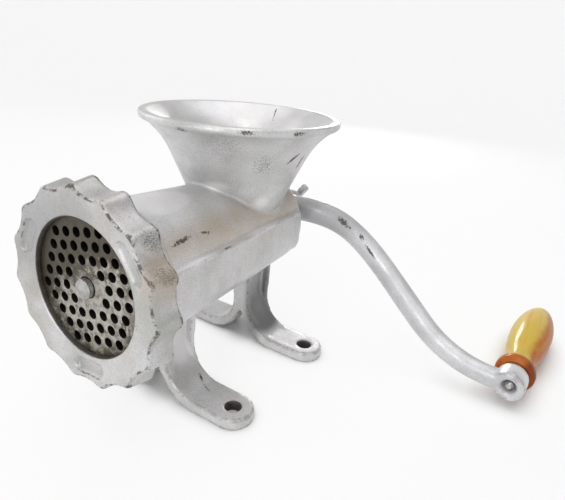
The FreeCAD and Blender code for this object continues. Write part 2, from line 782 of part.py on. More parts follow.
def make_crank():
    """The S-shaped crank: a hub with a square hole, a tapering oval arm that bows back, and a boss."""
    stations = arm_stations()
    sections = []
    for number, (point, heading) in enumerate(stations):
        share = number / (len(stations) - 1)
        half_height = value("arm_hub_height / 2") * (1 - share) + value("arm_boss_height / 2") * share
        half_thick = value("arm_hub_thick / 2") * (1 - share) + value("arm_boss_thick / 2") * share
        oval = Part.Ellipse(ORIGIN, half_height, half_thick).toShape()
        oval.rotate(ORIGIN, X_AXIS, 90)
        oval.rotate(ORIGIN, Z_AXIS, math.degrees(heading) + 90)
        oval.translate(point)
        sections.append(Part.Wire(oval))
    arm = Part.makeLoft(sections, True, False)
    hub_thick = value("hub_thick")
    ahead = value("boss_ahead")
    behind = value("boss_behind")
    throw = X_AXIS * value("crank_throw")
    hub = Part.makeCylinder(value("hub_dia / 2"), hub_thick, Z_AXIS * (-hub_thick / 2))
    boss = Part.makeCylinder(value("boss_dia / 2"), ahead + behind, throw - Z_AXIS * behind)
    pin_radius = value("spindle_tail_dia / 2")
    pin_hole = Part.makeCylinder(pin_radius, 2 * (ahead + behind), throw - Z_AXIS * 2 * behind)
    bore_depth = value("boss_bore_depth")
    bore_radius = value("boss_bore_dia / 2")
    bore = Part.makeCylinder(bore_radius, 2 * bore_depth, throw + Z_AXIS * (ahead - bore_depth))
    for turned_with_grip in (boss, pin_hole, bore):
        turned_with_grip.rotate(throw, Y_AXIS, -value("grip_splay"))
    side = value("shaft_square + 2 * square_gap")
    square = Part.makeBox(side, side, 2 * hub_thick, FreeCAD.Vector(-side / 2, -side / 2, -hub_thick))
    drop = value("crank_drop")
    square.rotate(ORIGIN, Z_AXIS, drop)
    crank = feature("crank_arm", hub.fuse([arm, boss]).cut([square, pin_hole, bore]))
    crank.Placement = FreeCAD.Placement(
        FreeCAD.Vector(0, value(f"{HUB_MIDDLE} - face_to_feet"), value("axis_height")),
        FreeCAD.Rotation(Y_AXIS, drop) * FreeCAD.Rotation(X_AXIS, 90))


def make_crank_screw():
    """The winged screw and washer that hold the crank on its square."""
    on_axis(washer("crank_washer", "crank_washer_dia", "screw_dia + 2 * square_gap",
                   HUB_BACK, "washer_thick"))
    head = f"({HUB_BACK} + washer_thick)"
    stem = turned("ScrewStem", [
        ("0", f"{HUB_BACK} - screw_length + end_gap"),
        ("screw_dia / 2", f"{HUB_BACK} - screw_length + end_gap"),
        ("screw_dia / 2", head),
        ("screw_head_dia / 2", head),
        ("screw_head_dia / 2", f"{head} + screw_head_length"),
        ("0", f"{head} + screw_head_length"),
    ])
    low = f"({head} + screw_head_length / 2)"
    high = f"({low} + wing_height)"
    reach = "(wing_span / 2)"
    wings = padded("ScrewWings", "XZ_Plane", [
        (f"-{reach}", f"{low} + wing_height / 3"),
        (f"-{reach} + wing_height / 3", low),
        (f"{reach} - wing_height / 3", low),
        (reach, f"{low} + wing_height / 3"),
        (reach, f"{high} - wing_height / 3"),
        (f"{reach} - wing_height / 3", high),
        ("screw_head_dia / 2", f"{head} + screw_head_length"),
        ("-screw_head_dia / 2", f"{head} + screw_head_length"),
        (f"-{reach} + wing_height / 3", high),
        (f"-{reach}", f"{high} - wing_height / 3"),
    ], "wing_thick")
    wings.Placement = FreeCAD.Placement(ORIGIN, FreeCAD.Rotation(Z_AXIS, -value("wing_angle")))
    on_axis(fused("thumb_screw", [stem, wings]))


def make_grip():
    """The turning wooden grip with its collar, on a spindle riveted into the crank's boss."""
    bore = "(spindle_dia / 2 + spindle_gap)"
    seat = f"({BOSS_FRONT} + boss_bore_depth)"
    head_front = f"({GRIP_BACK} - spindle_head_thick + end_gap)"
    on_boss(turned("grip_spindle", [
        ("0", f"{seat} - rivet_height"),
        ("rivet_dia / 2 - rivet_height / 2", f"{seat} - rivet_height"),
        ("rivet_dia / 2", f"{seat} - rivet_height / 2"),
        ("rivet_dia / 2", seat),
        ("spindle_tail_dia / 2", seat),
        ("spindle_tail_dia / 2", BOSS_BACK),
        ("spindle_dia / 2", BOSS_BACK),
        ("spindle_dia / 2", head_front),
        ("spindle_head_dia / 2", head_front),
        ("spindle_head_dia / 2", f"{head_front} + spindle_head_thick / 2"),
        ("0", f"{head_front} + spindle_head_thick"),
    ]))
    on_boss(washer("boss_washer", "boss_washer_dia", "spindle_dia", BOSS_BACK, "small_washer_thick"))
    edge = "collar_dia / 2"
    on_boss(turned("grip_collar", [
        (bore, COLLAR_FRONT),
        (f"{edge} - collar_round", COLLAR_FRONT),
        (edge, f"{COLLAR_FRONT} + collar_round"),
        (edge, f"{GRIP_FRONT} - collar_round"),
        (f"{edge} - collar_round", GRIP_FRONT),
        (bore, GRIP_FRONT),
    ], {1: ("collar_round", -1), 3: ("collar_round", -1)}))
    head_room = f"({head_front} - end_gap)"
    rise = "(grip_dia / 2 - grip_waist_dia / 2)"
    fall = "(grip_dia / 2 - grip_shoulder_dia / 2)"
    front_bulge = f"((grip_belly_at - grip_waist_at) ^ 2 + {rise} ^ 2) / (2 * {rise})"
    rear_bulge = f"((grip_shoulder_at - grip_belly_at) ^ 2 + {fall} ^ 2) / (2 * {fall})"
    on_boss(turned("wooden_grip", [
        (bore, GRIP_FRONT),
        ("grip_neck_dia / 2", GRIP_FRONT),
        ("grip_waist_dia / 2", f"{GRIP_FRONT} + grip_waist_at"),
        ("grip_dia / 2", f"{GRIP_FRONT} + grip_belly_at"),
        ("grip_shoulder_dia / 2", f"{GRIP_FRONT} + grip_shoulder_at"),
        ("grip_tip_dia / 2", f"{GRIP_FRONT} + grip_tip_at"),
        ("grip_end_dia / 2", GRIP_BACK),
        ("spindle_head_dia / 2 + end_gap", GRIP_BACK),
        ("spindle_head_dia / 2 + end_gap", head_room),
        (bore, head_room),
    ], {
        1: ("4 * grip_waist_at", 1),
        2: (front_bulge, -1),
        3: (rear_bulge, -1),
        4: ("3 * grip_shoulder_dia", -1),
        5: ("grip_end_dia / 2", -1),
    }))


make_casting()
make_ring()
make_plate()
key_bar("plate_key_pin", "key_dia", MOUTH, f"{BORE_FRONT} + key_seat")
make_knife()
make_worm()
make_drive()
make_crank()
make_crank_screw()
make_grip()
doc.recompute()

NODES = [
    "body_casting", "ring_nut", "cutting_plate", "plate_key_pin", "cross_knife", "feed_worm",
    "worm_stud", "worm_pin", "drive_shaft", "rear_bush", "thrust_washer", "hub_washer",
    "crank_arm", "crank_washer", "thumb_screw", "grip_spindle", "boss_washer", "grip_collar",
    "wooden_grip",
]

failed = [item.Label for item in doc.Objects if {"Invalid", "Error"} & set(item.State)]
if failed:
    raise RuntimeError(f"these objects failed: {failed}")
os.makedirs("parts", exist_ok=True)
for node in NODES:
    shape = doc.getObjectsByLabel(node)[0].Shape
    if shape.isNull() or not shape.isValid():
        raise RuntimeError(f"{node} has no valid shape")
    print(f"{node}: {len(shape.Solids)} solid, {shape.Volume / 1000:.1f} cm3")
for node in NODES:
    doc.getObjectsByLabel(node)[0].Shape.exportStep(f"parts/{node}.step")
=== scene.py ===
"""Dresses a hand-cranked meat grinder in soft castings, worn steel and varnished wood."""
import json
import logging
import math
from dataclasses import dataclass, replace
from enum import Enum
from typing import Any

import bmesh
import bpy
import numpy as np
from mathutils import Matrix, Vector
from mathutils.bvhtree import BVHTree

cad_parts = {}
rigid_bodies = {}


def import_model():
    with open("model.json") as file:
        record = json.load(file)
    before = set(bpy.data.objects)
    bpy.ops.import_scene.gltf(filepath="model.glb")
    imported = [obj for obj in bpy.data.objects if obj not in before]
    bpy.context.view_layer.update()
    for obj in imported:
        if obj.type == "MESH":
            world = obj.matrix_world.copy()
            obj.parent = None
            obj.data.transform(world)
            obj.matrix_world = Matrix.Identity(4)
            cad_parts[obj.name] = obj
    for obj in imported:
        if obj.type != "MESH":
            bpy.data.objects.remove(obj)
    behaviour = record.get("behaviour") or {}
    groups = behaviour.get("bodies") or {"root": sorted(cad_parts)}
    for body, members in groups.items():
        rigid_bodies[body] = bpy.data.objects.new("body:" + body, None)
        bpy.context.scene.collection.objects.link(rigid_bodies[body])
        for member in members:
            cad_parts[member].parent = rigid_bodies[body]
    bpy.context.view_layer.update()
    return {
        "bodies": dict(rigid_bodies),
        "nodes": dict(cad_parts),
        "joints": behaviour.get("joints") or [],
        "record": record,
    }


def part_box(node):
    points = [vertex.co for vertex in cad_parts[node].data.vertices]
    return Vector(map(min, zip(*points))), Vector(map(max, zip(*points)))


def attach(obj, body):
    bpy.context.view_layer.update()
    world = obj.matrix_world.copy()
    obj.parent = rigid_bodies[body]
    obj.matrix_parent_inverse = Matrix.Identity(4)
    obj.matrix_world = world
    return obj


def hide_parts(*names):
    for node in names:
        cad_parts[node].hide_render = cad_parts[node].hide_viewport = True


Triple = tuple[float, float, float]
Colour = Triple
Span = tuple[float, float]
Frame = dict[str, Any]
Socket = bpy.types.NodeSocket
Value = float | Colour | Socket

LOG = logging.getLogger("meat_grinder")
MM = 0.001
ENDLESS_MM = 1000.0
WHITE: Colour = (1.0, 1.0, 1.0)
NO_TURN: Triple = (0.0, 0.0, 0.0)
GOLDEN_TURN = 2.39996
NOISE_MEAN = 0.5
# A Mix node's colour sockets share their names with others, so they are found by number.
MIX_SHARE, MIX_FIRST, MIX_SECOND, MIX_RESULT = 0, 6, 7, 2


class Body(Enum):
    """The rigid bodies that cast pieces ride on."""

    CASTING = "casting"
    RING = "ring"
    DRIVE = "drive"


class Slot(Enum):
    """The record's material slots that cast pieces take."""

    TIN = "tinned_casting"


class Axis(Enum):
    """An object's own axes."""

    X = "X"
    Y = "Y"
    Z = "Z"


class Mark(Enum):
    """The numbers that a casting keeps at each vertex."""

    EDGE = "edge"
    HOLLOW = "hollow"


class Op(Enum):
    """The ways in which a material combines numbers."""

    ADD = "ADD"
    SUBTRACT = "SUBTRACT"
    MULTIPLY = "MULTIPLY"
    MAXIMUM = "MAXIMUM"
    ABSOLUTE = "ABSOLUTE"


@dataclass(frozen=True)
class Ramp:
    """A smooth change from start to end while a value goes from low to high."""

    low: float
    high: float
    start: float = 0.0
    end: float = 1.0

    def up_to(self, end: float) -> "Ramp":
        """The same ramp with another end."""
        return replace(self, end=end)


@dataclass(frozen=True)
class Noise:
    """Noise with features of a size in millimetres, its octaves and the finer ones' strength."""

    size: float
    detail: float = 3.0
    rough: float = 0.55


@dataclass(frozen=True)
class Mottle:
    """Noise that a ramp turns into patches."""

    noise: Noise
    ramp: Ramp


@dataclass(frozen=True)
class Relief:
    """Noise that stands out of a surface by a depth in millimetres."""

    noise: Noise
    depth: float


class Graph:
    """A material's node tree, with short calls for the nodes that the finishes share."""

    def __init__(self, name: str) -> None:
        """Start a material with a Principled shader.

        Args:
            name: the material's name.
        """
        self.material = bpy.data.materials.new(name)
        self.material.use_nodes = True
        self.tree = self.material.node_tree
        self.shader = self.find("BSDF_PRINCIPLED")
        self.place = self.add("ShaderNodeTexCoord").outputs["Object"]

    def find(self, kind: str) -> bpy.types.Node:
        """The tree's first node of a type."""
        return next(node for node in self.tree.nodes if node.type == kind)

    def add(self, kind: str) -> bpy.types.Node:
        """Add a node of a kind to the tree."""
        return self.tree.nodes.new(kind)

    def feed(self, socket: Socket, value: Value) -> None:
        """Set an input, or link it to another node's output.

        Args:
            socket: the input.
            value: a number, a colour or an output.
        """
        if isinstance(value, bpy.types.NodeSocket):
            self.tree.links.new(value, socket)
        elif isinstance(value, tuple) and socket.type == "RGBA":
            socket.default_value = (*value, 1.0)
        else:
            socket.default_value = value

    def stretched(self, scale: Triple) -> Socket:
        """The object's own coordinates, stretched.

        Args:
            scale: how many times finer the pattern is along each axis.

        Returns:
            The mapped coordinates.
        """
        mapping = self.add("ShaderNodeMapping")
        self.feed(mapping.inputs["Vector"], self.place)
        self.feed(mapping.inputs["Scale"], scale)
        return mapping.outputs["Vector"]

    def noise(self, noise: Noise, where: Socket | None = None) -> Socket:
        """Add noise.

        Args:
            noise: its size and octaves.
            where: coordinates, or the object's own.

        Returns:
            The noise, about 0.5 on average.
        """
        texture = self.add("ShaderNodeTexNoise")
        self.feed(texture.inputs["Vector"], where or self.place)
        self.feed(texture.inputs["Scale"], 1.0 / (noise.size * MM))
        self.feed(texture.inputs["Detail"], noise.detail)
        self.feed(texture.inputs["Roughness"], noise.rough)
        return texture.outputs["Fac"]

    def spread(self, value: Value, ramp: Ramp) -> Socket:
        """Take a value along a ramp.

        Args:
            value: what is stretched.
            ramp: the range and what it becomes.

        Returns:
            The new value.
        """
        node = self.add("ShaderNodeMapRange")
        node.interpolation_type = "SMOOTHSTEP"
        self.feed(node.inputs["Value"], value)
        self.feed(node.inputs["From Min"], ramp.low)
        self.feed(node.inputs["From Max"], ramp.high)
        self.feed(node.inputs["To Min"], ramp.start)
        self.feed(node.inputs["To Max"], ramp.end)
        return node.outputs["Result"]

    def mottle(self, mottle: Mottle) -> Socket:
        """Noise taken along its ramp."""
        return self.spread(self.noise(mottle.noise), mottle.ramp)

    def combine(self, kind: Op, first: Value, second: Value = 0.0) -> Socket:
        """Combine two numbers.

        Args:
            kind: the operation.
            first: a number or an output.
            second: a number or an output.

        Returns:
            The result.
        """
        node = self.add("ShaderNodeMath")
        node.operation = kind.value
        self.feed(node.inputs[0], first)
        self.feed(node.inputs[1], second)
        return node.outputs[0]

    def plus(self, first: Value, second: Value) -> Socket:
        """The sum of two numbers."""
        return self.combine(Op.ADD, first, second)

    def minus(self, first: Value, second: Value) -> Socket:
        """The difference of two numbers."""
        return self.combine(Op.SUBTRACT, first, second)

    def times(self, first: Value, second: Value) -> Socket:
        """The product of two numbers."""
        return self.combine(Op.MULTIPLY, first, second)

    def most(self, first: Value, second: Value) -> Socket:
        """The larger of two numbers."""
        return self.combine(Op.MAXIMUM, first, second)

    def blend(self, share: Value, first: Value, second: Value) -> Socket:
        """Mix two colours.

        Args:
            share: how much of the second shows.
            first: a colour or an output.
            second: a colour or an output.

        Returns:
            The mixed colour.
        """
        node = self.add("ShaderNodeMix")
        node.data_type = "RGBA"
        self.feed(node.inputs[MIX_SHARE], share)
        self.feed(node.inputs[MIX_FIRST], first)
        self.feed(node.inputs[MIX_SECOND], second)
        return node.outputs[MIX_RESULT]

    def part(self, vector: Socket, axis: Axis) -> Socket:
        """One number of a vector.

        Args:
            vector: the vector.
            axis: which number.

        Returns:
            The number.
        """
        split = self.add("ShaderNodeSeparateXYZ")
        self.feed(split.inputs[0], vector)
        return split.outputs[axis.value]

    def along(self, axis: Axis) -> Socket:
        """One of the object's own coordinates, in metres."""
        return self.part(self.place, axis)

    def facing(self, axis: Axis) -> Socket:
        """How squarely the surface faces along an axis of the object, from -1 to 1."""
        return self.part(self.add("ShaderNodeTexCoord").outputs["Normal"], axis)

    def within(self, centre: Triple, half: Triple, turn: Triple = NO_TURN) -> Socket:
        """How far out a point is in an ellipsoid: 0 at its centre and 1 on its skin.

        Args:
            centre: the ellipsoid's centre in metres.
            half: its half sizes in metres.
            turn: its Euler angles in radians.

        Returns:
            The distance, in half sizes.
        """
        mapping = self.add("ShaderNodeMapping")
        mapping.vector_type = "TEXTURE"
        self.feed(mapping.inputs["Vector"], self.place)
        self.feed(mapping.inputs["Location"], centre)
        self.feed(mapping.inputs["Rotation"], turn)
        self.feed(mapping.inputs["Scale"], half)
        length = self.add("ShaderNodeVectorMath")
        length.operation = "LENGTH"
        self.feed(length.inputs[0], mapping.outputs["Vector"])
        return length.outputs["Value"]

    def attribute(self, mark: Mark) -> Socket:
        """A number that the mesh keeps at each vertex.

        Args:
            mark: which number.

        Returns:
            The number, or 0 on a mesh without it.
        """
        node = self.add("ShaderNodeAttribute")
        node.attribute_name = mark.value
        return node.outputs["Fac"]

    def bump(self, height: Socket, depth_mm: float, below: Socket | None = None) -> Socket:
        """A bumpy normal.

        Args:
            height: the relief, from 0 to 1.
            depth_mm: how deep it is.
            below: a coarser bump that this one lies on.

        Returns:
            The normal.
        """
        node = self.add("ShaderNodeBump")
        self.feed(node.inputs["Strength"], 1.0)
        self.feed(node.inputs["Distance"], depth_mm * MM)
        self.feed(node.inputs["Height"], height)
        if below is not None:
            self.feed(node.inputs["Normal"], below)
        return node.outputs["Normal"]

    def finish(self, **inputs: Value) -> bpy.types.Material:
        """Feed the shader and return the material.

        Args:
            inputs: shader inputs, with underscores for spaces.

        Returns:
            The finished material.
        """
        for name, value in inputs.items():
            self.feed(self.shader.inputs[name.replace("_", " ")], value)
        return self.material


@dataclass(frozen=True)
class Scuff:
    """A stretch of the surface, in millimetres, where the tin is worn through."""

    start: Triple
    end: Triple
    width: float
    speck: float = 1.2
    worn: float = 0.22
    depth: float = 0.9
    octaves: float = 4.0
    broken: float = 0.70
    fade: Ramp = Ramp(0.10, 1.0, 1.0, 0.0)
    cut: Ramp = Ramp(0.56, 0.72)
    ends: Ramp = Ramp(0.02, 0.40)

    def share(self, graph: Graph) -> Socket:
        """How worn the surface is.

        Args:
            graph: the material's nodes.

        Returns:
            The share of bare, dark metal, from 0 to 1.
        """
        start, end = Vector(self.start) * MM, Vector(self.end) * MM
        along = end - start
        wide = self.width * MM
        half = (along.length / 2 + wide, wide, wide)
        turn = along.to_track_quat("X", "Z").to_euler()
        out = graph.within(tuple((start + end) / 2), half, tuple(turn))
        near = graph.spread(out, self.fade)
        specks = graph.noise(Noise(self.speck, self.octaves, self.broken))
        ragged = graph.plus(specks, graph.times(near, self.worn))
        bare = graph.spread(ragged, self.cut.up_to(self.depth))
        return graph.times(bare, graph.spread(near, self.ends))


@dataclass(frozen=True)
class Patch:
    """A rounded part of the surface, in millimetres, with an edge as soft as a share of it."""

    centre: Triple
    half: Triple
    soft: float = 0.45
    depth: float = 1.0

    def share(self, graph: Graph) -> Socket:
        """How far a point lies inside.

        Args:
            graph: the material's nodes.

        Returns:
            The patch's depth inside and 0 outside.
        """
        out = graph.within(tuple(Vector(self.centre) * MM), tuple(Vector(self.half) * MM))
        return graph.spread(out, Ramp(1.0 - self.soft, 1.0, self.depth, 0.0))


@dataclass(frozen=True)
class CastTin:
    """Tinned cast metal: satin silver with clouds, sand grain, dark pits, grimy corners, painted
    shade and painted highlights.
    """

    name: str
    pale: Colour = (0.76, 0.75, 0.765)
    cloud: Colour = (0.61, 0.62, 0.61)
    warm: Colour = (0.62, 0.545, 0.465)
    # dark colour of pits, scuffs and grimy corners, and of painted shade in recesses
    grime_and_shade: Colour = (0.060, 0.048, 0.040)
    shade: Colour = (0.20, 0.205, 0.215)
    # the colour of painted highlights
    bright: Colour = (0.90, 0.885, 0.90)
    metallic: float = 0.40
    specular: float = 0.35
    pits: float = 0.71
    edge_grime: float = 0.35
    warm_share: float = 0.20
    # how strongly shade is painted into hollows and sheltered places
    shelter: float = 0.55
    # a warm band: a brown stain on the ring, a painted reflection along the body's barrel
    stain_and_reflection: Patch | None = None
    clean: Patch | None = None
    # recesses with painted shade
    shaded_recesses: tuple[Patch, ...] = ()
    # patches of painted shade
    dull_and_shade: tuple[Patch, ...] = ()
    # patches of painted highlight
    rubbed_and_highlights: tuple[Patch, ...] = ()
    # where upward faces get painted light
    inside: Patch | None = None
    spared: Patch | None = None
    scuffs: tuple[Scuff, ...] = ()
    clouds: Mottle = Mottle(Noise(26.0, 4.0), Ramp(0.36, 0.68))
    warm_noise: Noise = Noise(40.0)
    warm_ramp: Ramp = Ramp(0.46, 0.70)
    uneven: Mottle = Mottle(Noise(16.0, 4.0), Ramp(0.28, 0.60, 0.62, 1.0))
    sand: Mottle = Mottle(Noise(0.8, 3.0, 0.75), Ramp(0.40, 0.74, 0.0, 0.40))
    upward: Ramp = Ramp(0.15, 0.45)
    pit_noise: Noise = Noise(0.9, 3.0, 0.62)
    pit_crowds: Mottle = Mottle(Noise(14.0), Ramp(0.50, 0.72, 0.0, 0.085))
    pit_edges: Ramp = Ramp(0.20, 0.80, 0.0, 0.06)
    pit_soft: float = 0.09
    pit_depth: float = 0.75
    edge_noise: Noise = Noise(3.5, 4.0, 0.70)
    edge_breaks: Ramp = Ramp(0.42, 0.58)
    edge_band: Ramp = Ramp(0.42, 0.70)
    # mottle of the painted shade in recesses
    shade_film: Mottle = Mottle(Noise(4.0), Ramp(0.30, 0.70, 1.0, 0.92))
    grime_and_shade_cover: float = 0.97
    grime_roughness: float = 0.3
    grime_mm: float = 0.12
    roughness: Mottle = Mottle(Noise(9.0, 4.0), Ramp(0.3, 0.7, 0.33, 0.50))
    swell: Relief = Relief(Noise(9.0), 0.22)
    grain: Relief = Relief(Noise(0.9, 2.0), 0.06)

    def material(self) -> bpy.types.Material:
        """Build the finish.

        Returns:
            The material.
        """
        graph = Graph(self.name)
        dirt_and_shade = self.dirt_and_shade(graph)
        tone = self.paint_shade_and_highlights(graph, self.tone(graph))
        tone = graph.blend(graph.times(dirt_and_shade, self.grime_and_shade_cover), tone, self.grime_and_shade)
        rough = graph.plus(graph.mottle(self.roughness), graph.times(dirt_and_shade, self.grime_roughness))
        swell = graph.bump(graph.noise(self.swell.noise), self.swell.depth)
        grain = graph.bump(graph.noise(self.grain.noise), self.grain.depth, swell)
        sunk = graph.bump(graph.minus(1.0, dirt_and_shade), self.grime_mm, grain)
        return graph.finish(Base_Color=tone, Metallic=self.metallic, Roughness=rough,
                            Specular_IOR_Level=self.specular, Normal=sunk)

    def tone(self, graph: Graph) -> Socket:
        """The clean metal's colour, with clouds, warm tarnish, a given warm band and sand grain.

        Args:
            graph: the material's nodes.

        Returns:
            The colour.
        """
        tone = graph.blend(graph.mottle(self.clouds), self.pale, self.cloud)
        warmth = graph.spread(graph.noise(self.warm_noise), self.warm_ramp.up_to(self.warm_share))
        # the given band is a brown stain on the ring and a painted reflection on the body
        if self.stain_and_reflection:
            band = self.stain_and_reflection.share(graph)
            if self.clean:
                band = graph.minus(band, self.clean.share(graph))
            warmth = graph.most(warmth, graph.times(band, graph.mottle(self.uneven)))
        tone = graph.blend(warmth, tone, self.warm)
        return graph.blend(graph.mottle(self.sand), tone, self.shade)

    def paint_shade_and_highlights(self, graph: Graph, tone: Socket) -> Socket:
        """Paint shade into sheltered hollows and given patches, and paint highlights onto given
        patches.

        Args:
            graph: the material's nodes.
            tone: the clean metal's colour.

        Returns:
            The colour without grime.
        """
        # painted shade: hollows and sheltered places darken towards the shade colour
        shaded = graph.times(graph.attribute(Mark.HOLLOW), self.shelter)
        # painted shade: given patches darken towards the shade colour
        for patch in self.dull_and_shade:
            shaded = graph.most(shaded, patch.share(graph))
        tone = graph.blend(shaded, tone, self.shade)
        # painted highlights: given patches lighten towards the bright colour
        for patch in self.rubbed_and_highlights:
            tone = graph.blend(patch.share(graph), tone, self.bright)
        # painted light: upward faces inside the given patch lighten
        if self.inside:
            upward = graph.spread(graph.facing(Axis.Z), self.upward)
            tone = graph.blend(graph.times(upward, self.inside.share(graph)), tone, self.bright)
        return tone

    def dirt_and_shade(self, graph: Graph) -> Socket:
        """Where the casting is pitted, scuffed or grimy along its corners, and where shade is
        painted into given recesses.

        Args:
            graph: the material's nodes.

        Returns:
            The share of dark marks and painted shade, from 0 to 1.
        """
        edge = graph.attribute(Mark.EDGE)
        if self.spared:
            edge = graph.times(edge, graph.minus(1.0, self.spared.share(graph)))
        crowd = graph.plus(graph.mottle(self.pit_crowds), graph.spread(edge, self.pit_edges))
        pitted = Ramp(self.pits, self.pits + self.pit_soft, 0.0, self.pit_depth)
        dirt_and_shade = graph.spread(graph.plus(graph.noise(self.pit_noise), crowd), pitted)
        broken = graph.spread(graph.noise(self.edge_noise), self.edge_breaks.up_to(self.edge_grime))
        dirt_and_shade = graph.most(dirt_and_shade, graph.times(graph.spread(edge, self.edge_band), broken))
        for scuff in self.scuffs:
            dirt_and_shade = graph.most(dirt_and_shade, scuff.share(graph))
        # painted shade: given recesses darken in a mottled layer
        for patch in self.shaded_recesses:
            shade_film = graph.mottle(self.shade_film)
            dirt_and_shade = graph.most(dirt_and_shade, graph.times(patch.share(graph), shade_film))
        return dirt_and_shade


@dataclass(frozen=True)
class PlateSteel:
    """Worn, ground steel: stains, bright wear low down, painted shadow at the top, painted shade at
    rim and holes.
    """

    middle: Triple
    radius: float
    name: str = "plate_steel"
    bare: Colour = (0.36, 0.335, 0.29)
    # colour of the stains, also of the painted shadow and rim shade
    stain_and_shade: Colour = (0.080, 0.066, 0.048)
    shine: Colour = (0.50, 0.48, 0.445)
    # black painted shade inside the holes
    black: Colour = (0.012, 0.010, 0.009)
    metallic: float = 0.5
    stains: Mottle = Mottle(Noise(6.0, 5.0, 0.68), Ramp(0.44, 0.68))
    # bright wear, which the painted shadow hides at the top
    rubbed_and_highlights: Mottle = Mottle(Noise(2.6), Ramp(0.44, 0.60, 0.0, 0.75))
    walls: Ramp = Ramp(0.35, 0.80, 0.97, 0.0)
    roughness: Mottle = Mottle(Noise(4.0, 4.0), Ramp(0.3, 0.7, 0.34, 0.60))
    relief: Relief = Relief(Noise(1.1, 4.0), 0.08)
    rim_shade: Ramp = Ramp(0.55, 0.95, 0.0, 0.12)
    top_shadow: float = 0.46
    top_radii: Span = (-0.1, 0.95)
    slant: float = 0.6

    def material(self) -> bpy.types.Material:
        """Build the finish.

        Returns:
            The material.
        """
        graph = Graph(self.name)
        shade_film = self.shade_film(graph)
        # the painted shadow and rim shade darken towards the stains' colour
        stains_and_shade = graph.plus(graph.noise(self.stains.noise), shade_film)
        tone = graph.blend(graph.spread(stains_and_shade, self.stains.ramp), self.bare, self.stain_and_shade)
        rubbed_and_highlights = graph.minus(graph.noise(self.rubbed_and_highlights.noise), shade_film)
        tone = graph.blend(graph.spread(rubbed_and_highlights, self.rubbed_and_highlights.ramp), tone, self.shine)
        # painted shade: faces that don't face along Y, inside the holes, go black
        square = graph.combine(Op.ABSOLUTE, graph.facing(Axis.Y))
        tone = graph.blend(graph.spread(square, self.walls), tone, self.black)
        relief = graph.bump(graph.noise(self.relief.noise), self.relief.depth)
        return graph.finish(Base_Color=tone, Metallic=self.metallic,
                            Roughness=graph.mottle(self.roughness), Normal=relief)

    def shade_film(self, graph: Graph) -> Socket:
        """How much painted shade lies on the plate: along its rim, and as a painted shadow at the
        upper left.

        Args:
            graph: the material's nodes.

        Returns:
            The amount, from 0 to about 0.5.
        """
        reach = graph.within(self.middle, (self.radius, ENDLESS_MM * MM, self.radius))
        rise = graph.minus(graph.along(Axis.Z), self.middle[2])
        across = graph.times(graph.minus(self.middle[0], graph.along(Axis.X)), self.slant)
        low, high = (radii * self.radius for radii in self.top_radii)
        top = graph.spread(graph.plus(rise, across), Ramp(low, high, 0.0, self.top_shadow))
        return graph.plus(graph.spread(reach, self.rim_shade), top)


@dataclass(frozen=True)
class TurnedMetal:
    """Plain turned metal with faint tool marks round its axis."""

    name: str
    bright: Colour
    dull_and_shade: Colour
    roughness: Ramp = Ramp(0.3, 0.7, 0.24, 0.44)
    metallic: float = 1.0
    patches: Mottle = Mottle(Noise(5.0, 4.0), Ramp(0.38, 0.66))
    marks: Relief = Relief(Noise(0.7, 2.0, 0.5), 0.03)
    stretch: Triple = (0.15, 1.0, 0.15)

    def material(self) -> bpy.types.Material:
        """Build the finish.

        Returns:
            The material.
        """
        graph = Graph(self.name)
        marks = graph.noise(self.marks.noise, graph.stretched(self.stretch))
        tone = graph.blend(graph.mottle(self.patches), self.bright, self.dull_and_shade)
        return graph.finish(Base_Color=tone, Metallic=self.metallic,
                            Roughness=graph.spread(marks, self.roughness),
                            Normal=graph.bump(marks, self.marks.depth))


@dataclass(frozen=True)
class WoodTones:
    """The colours of varnished wood: its pale tone as painted light, its deep amber as painted
    shade, and its grain.
    """

    pale: Colour
    deep: Colour
    line: Colour


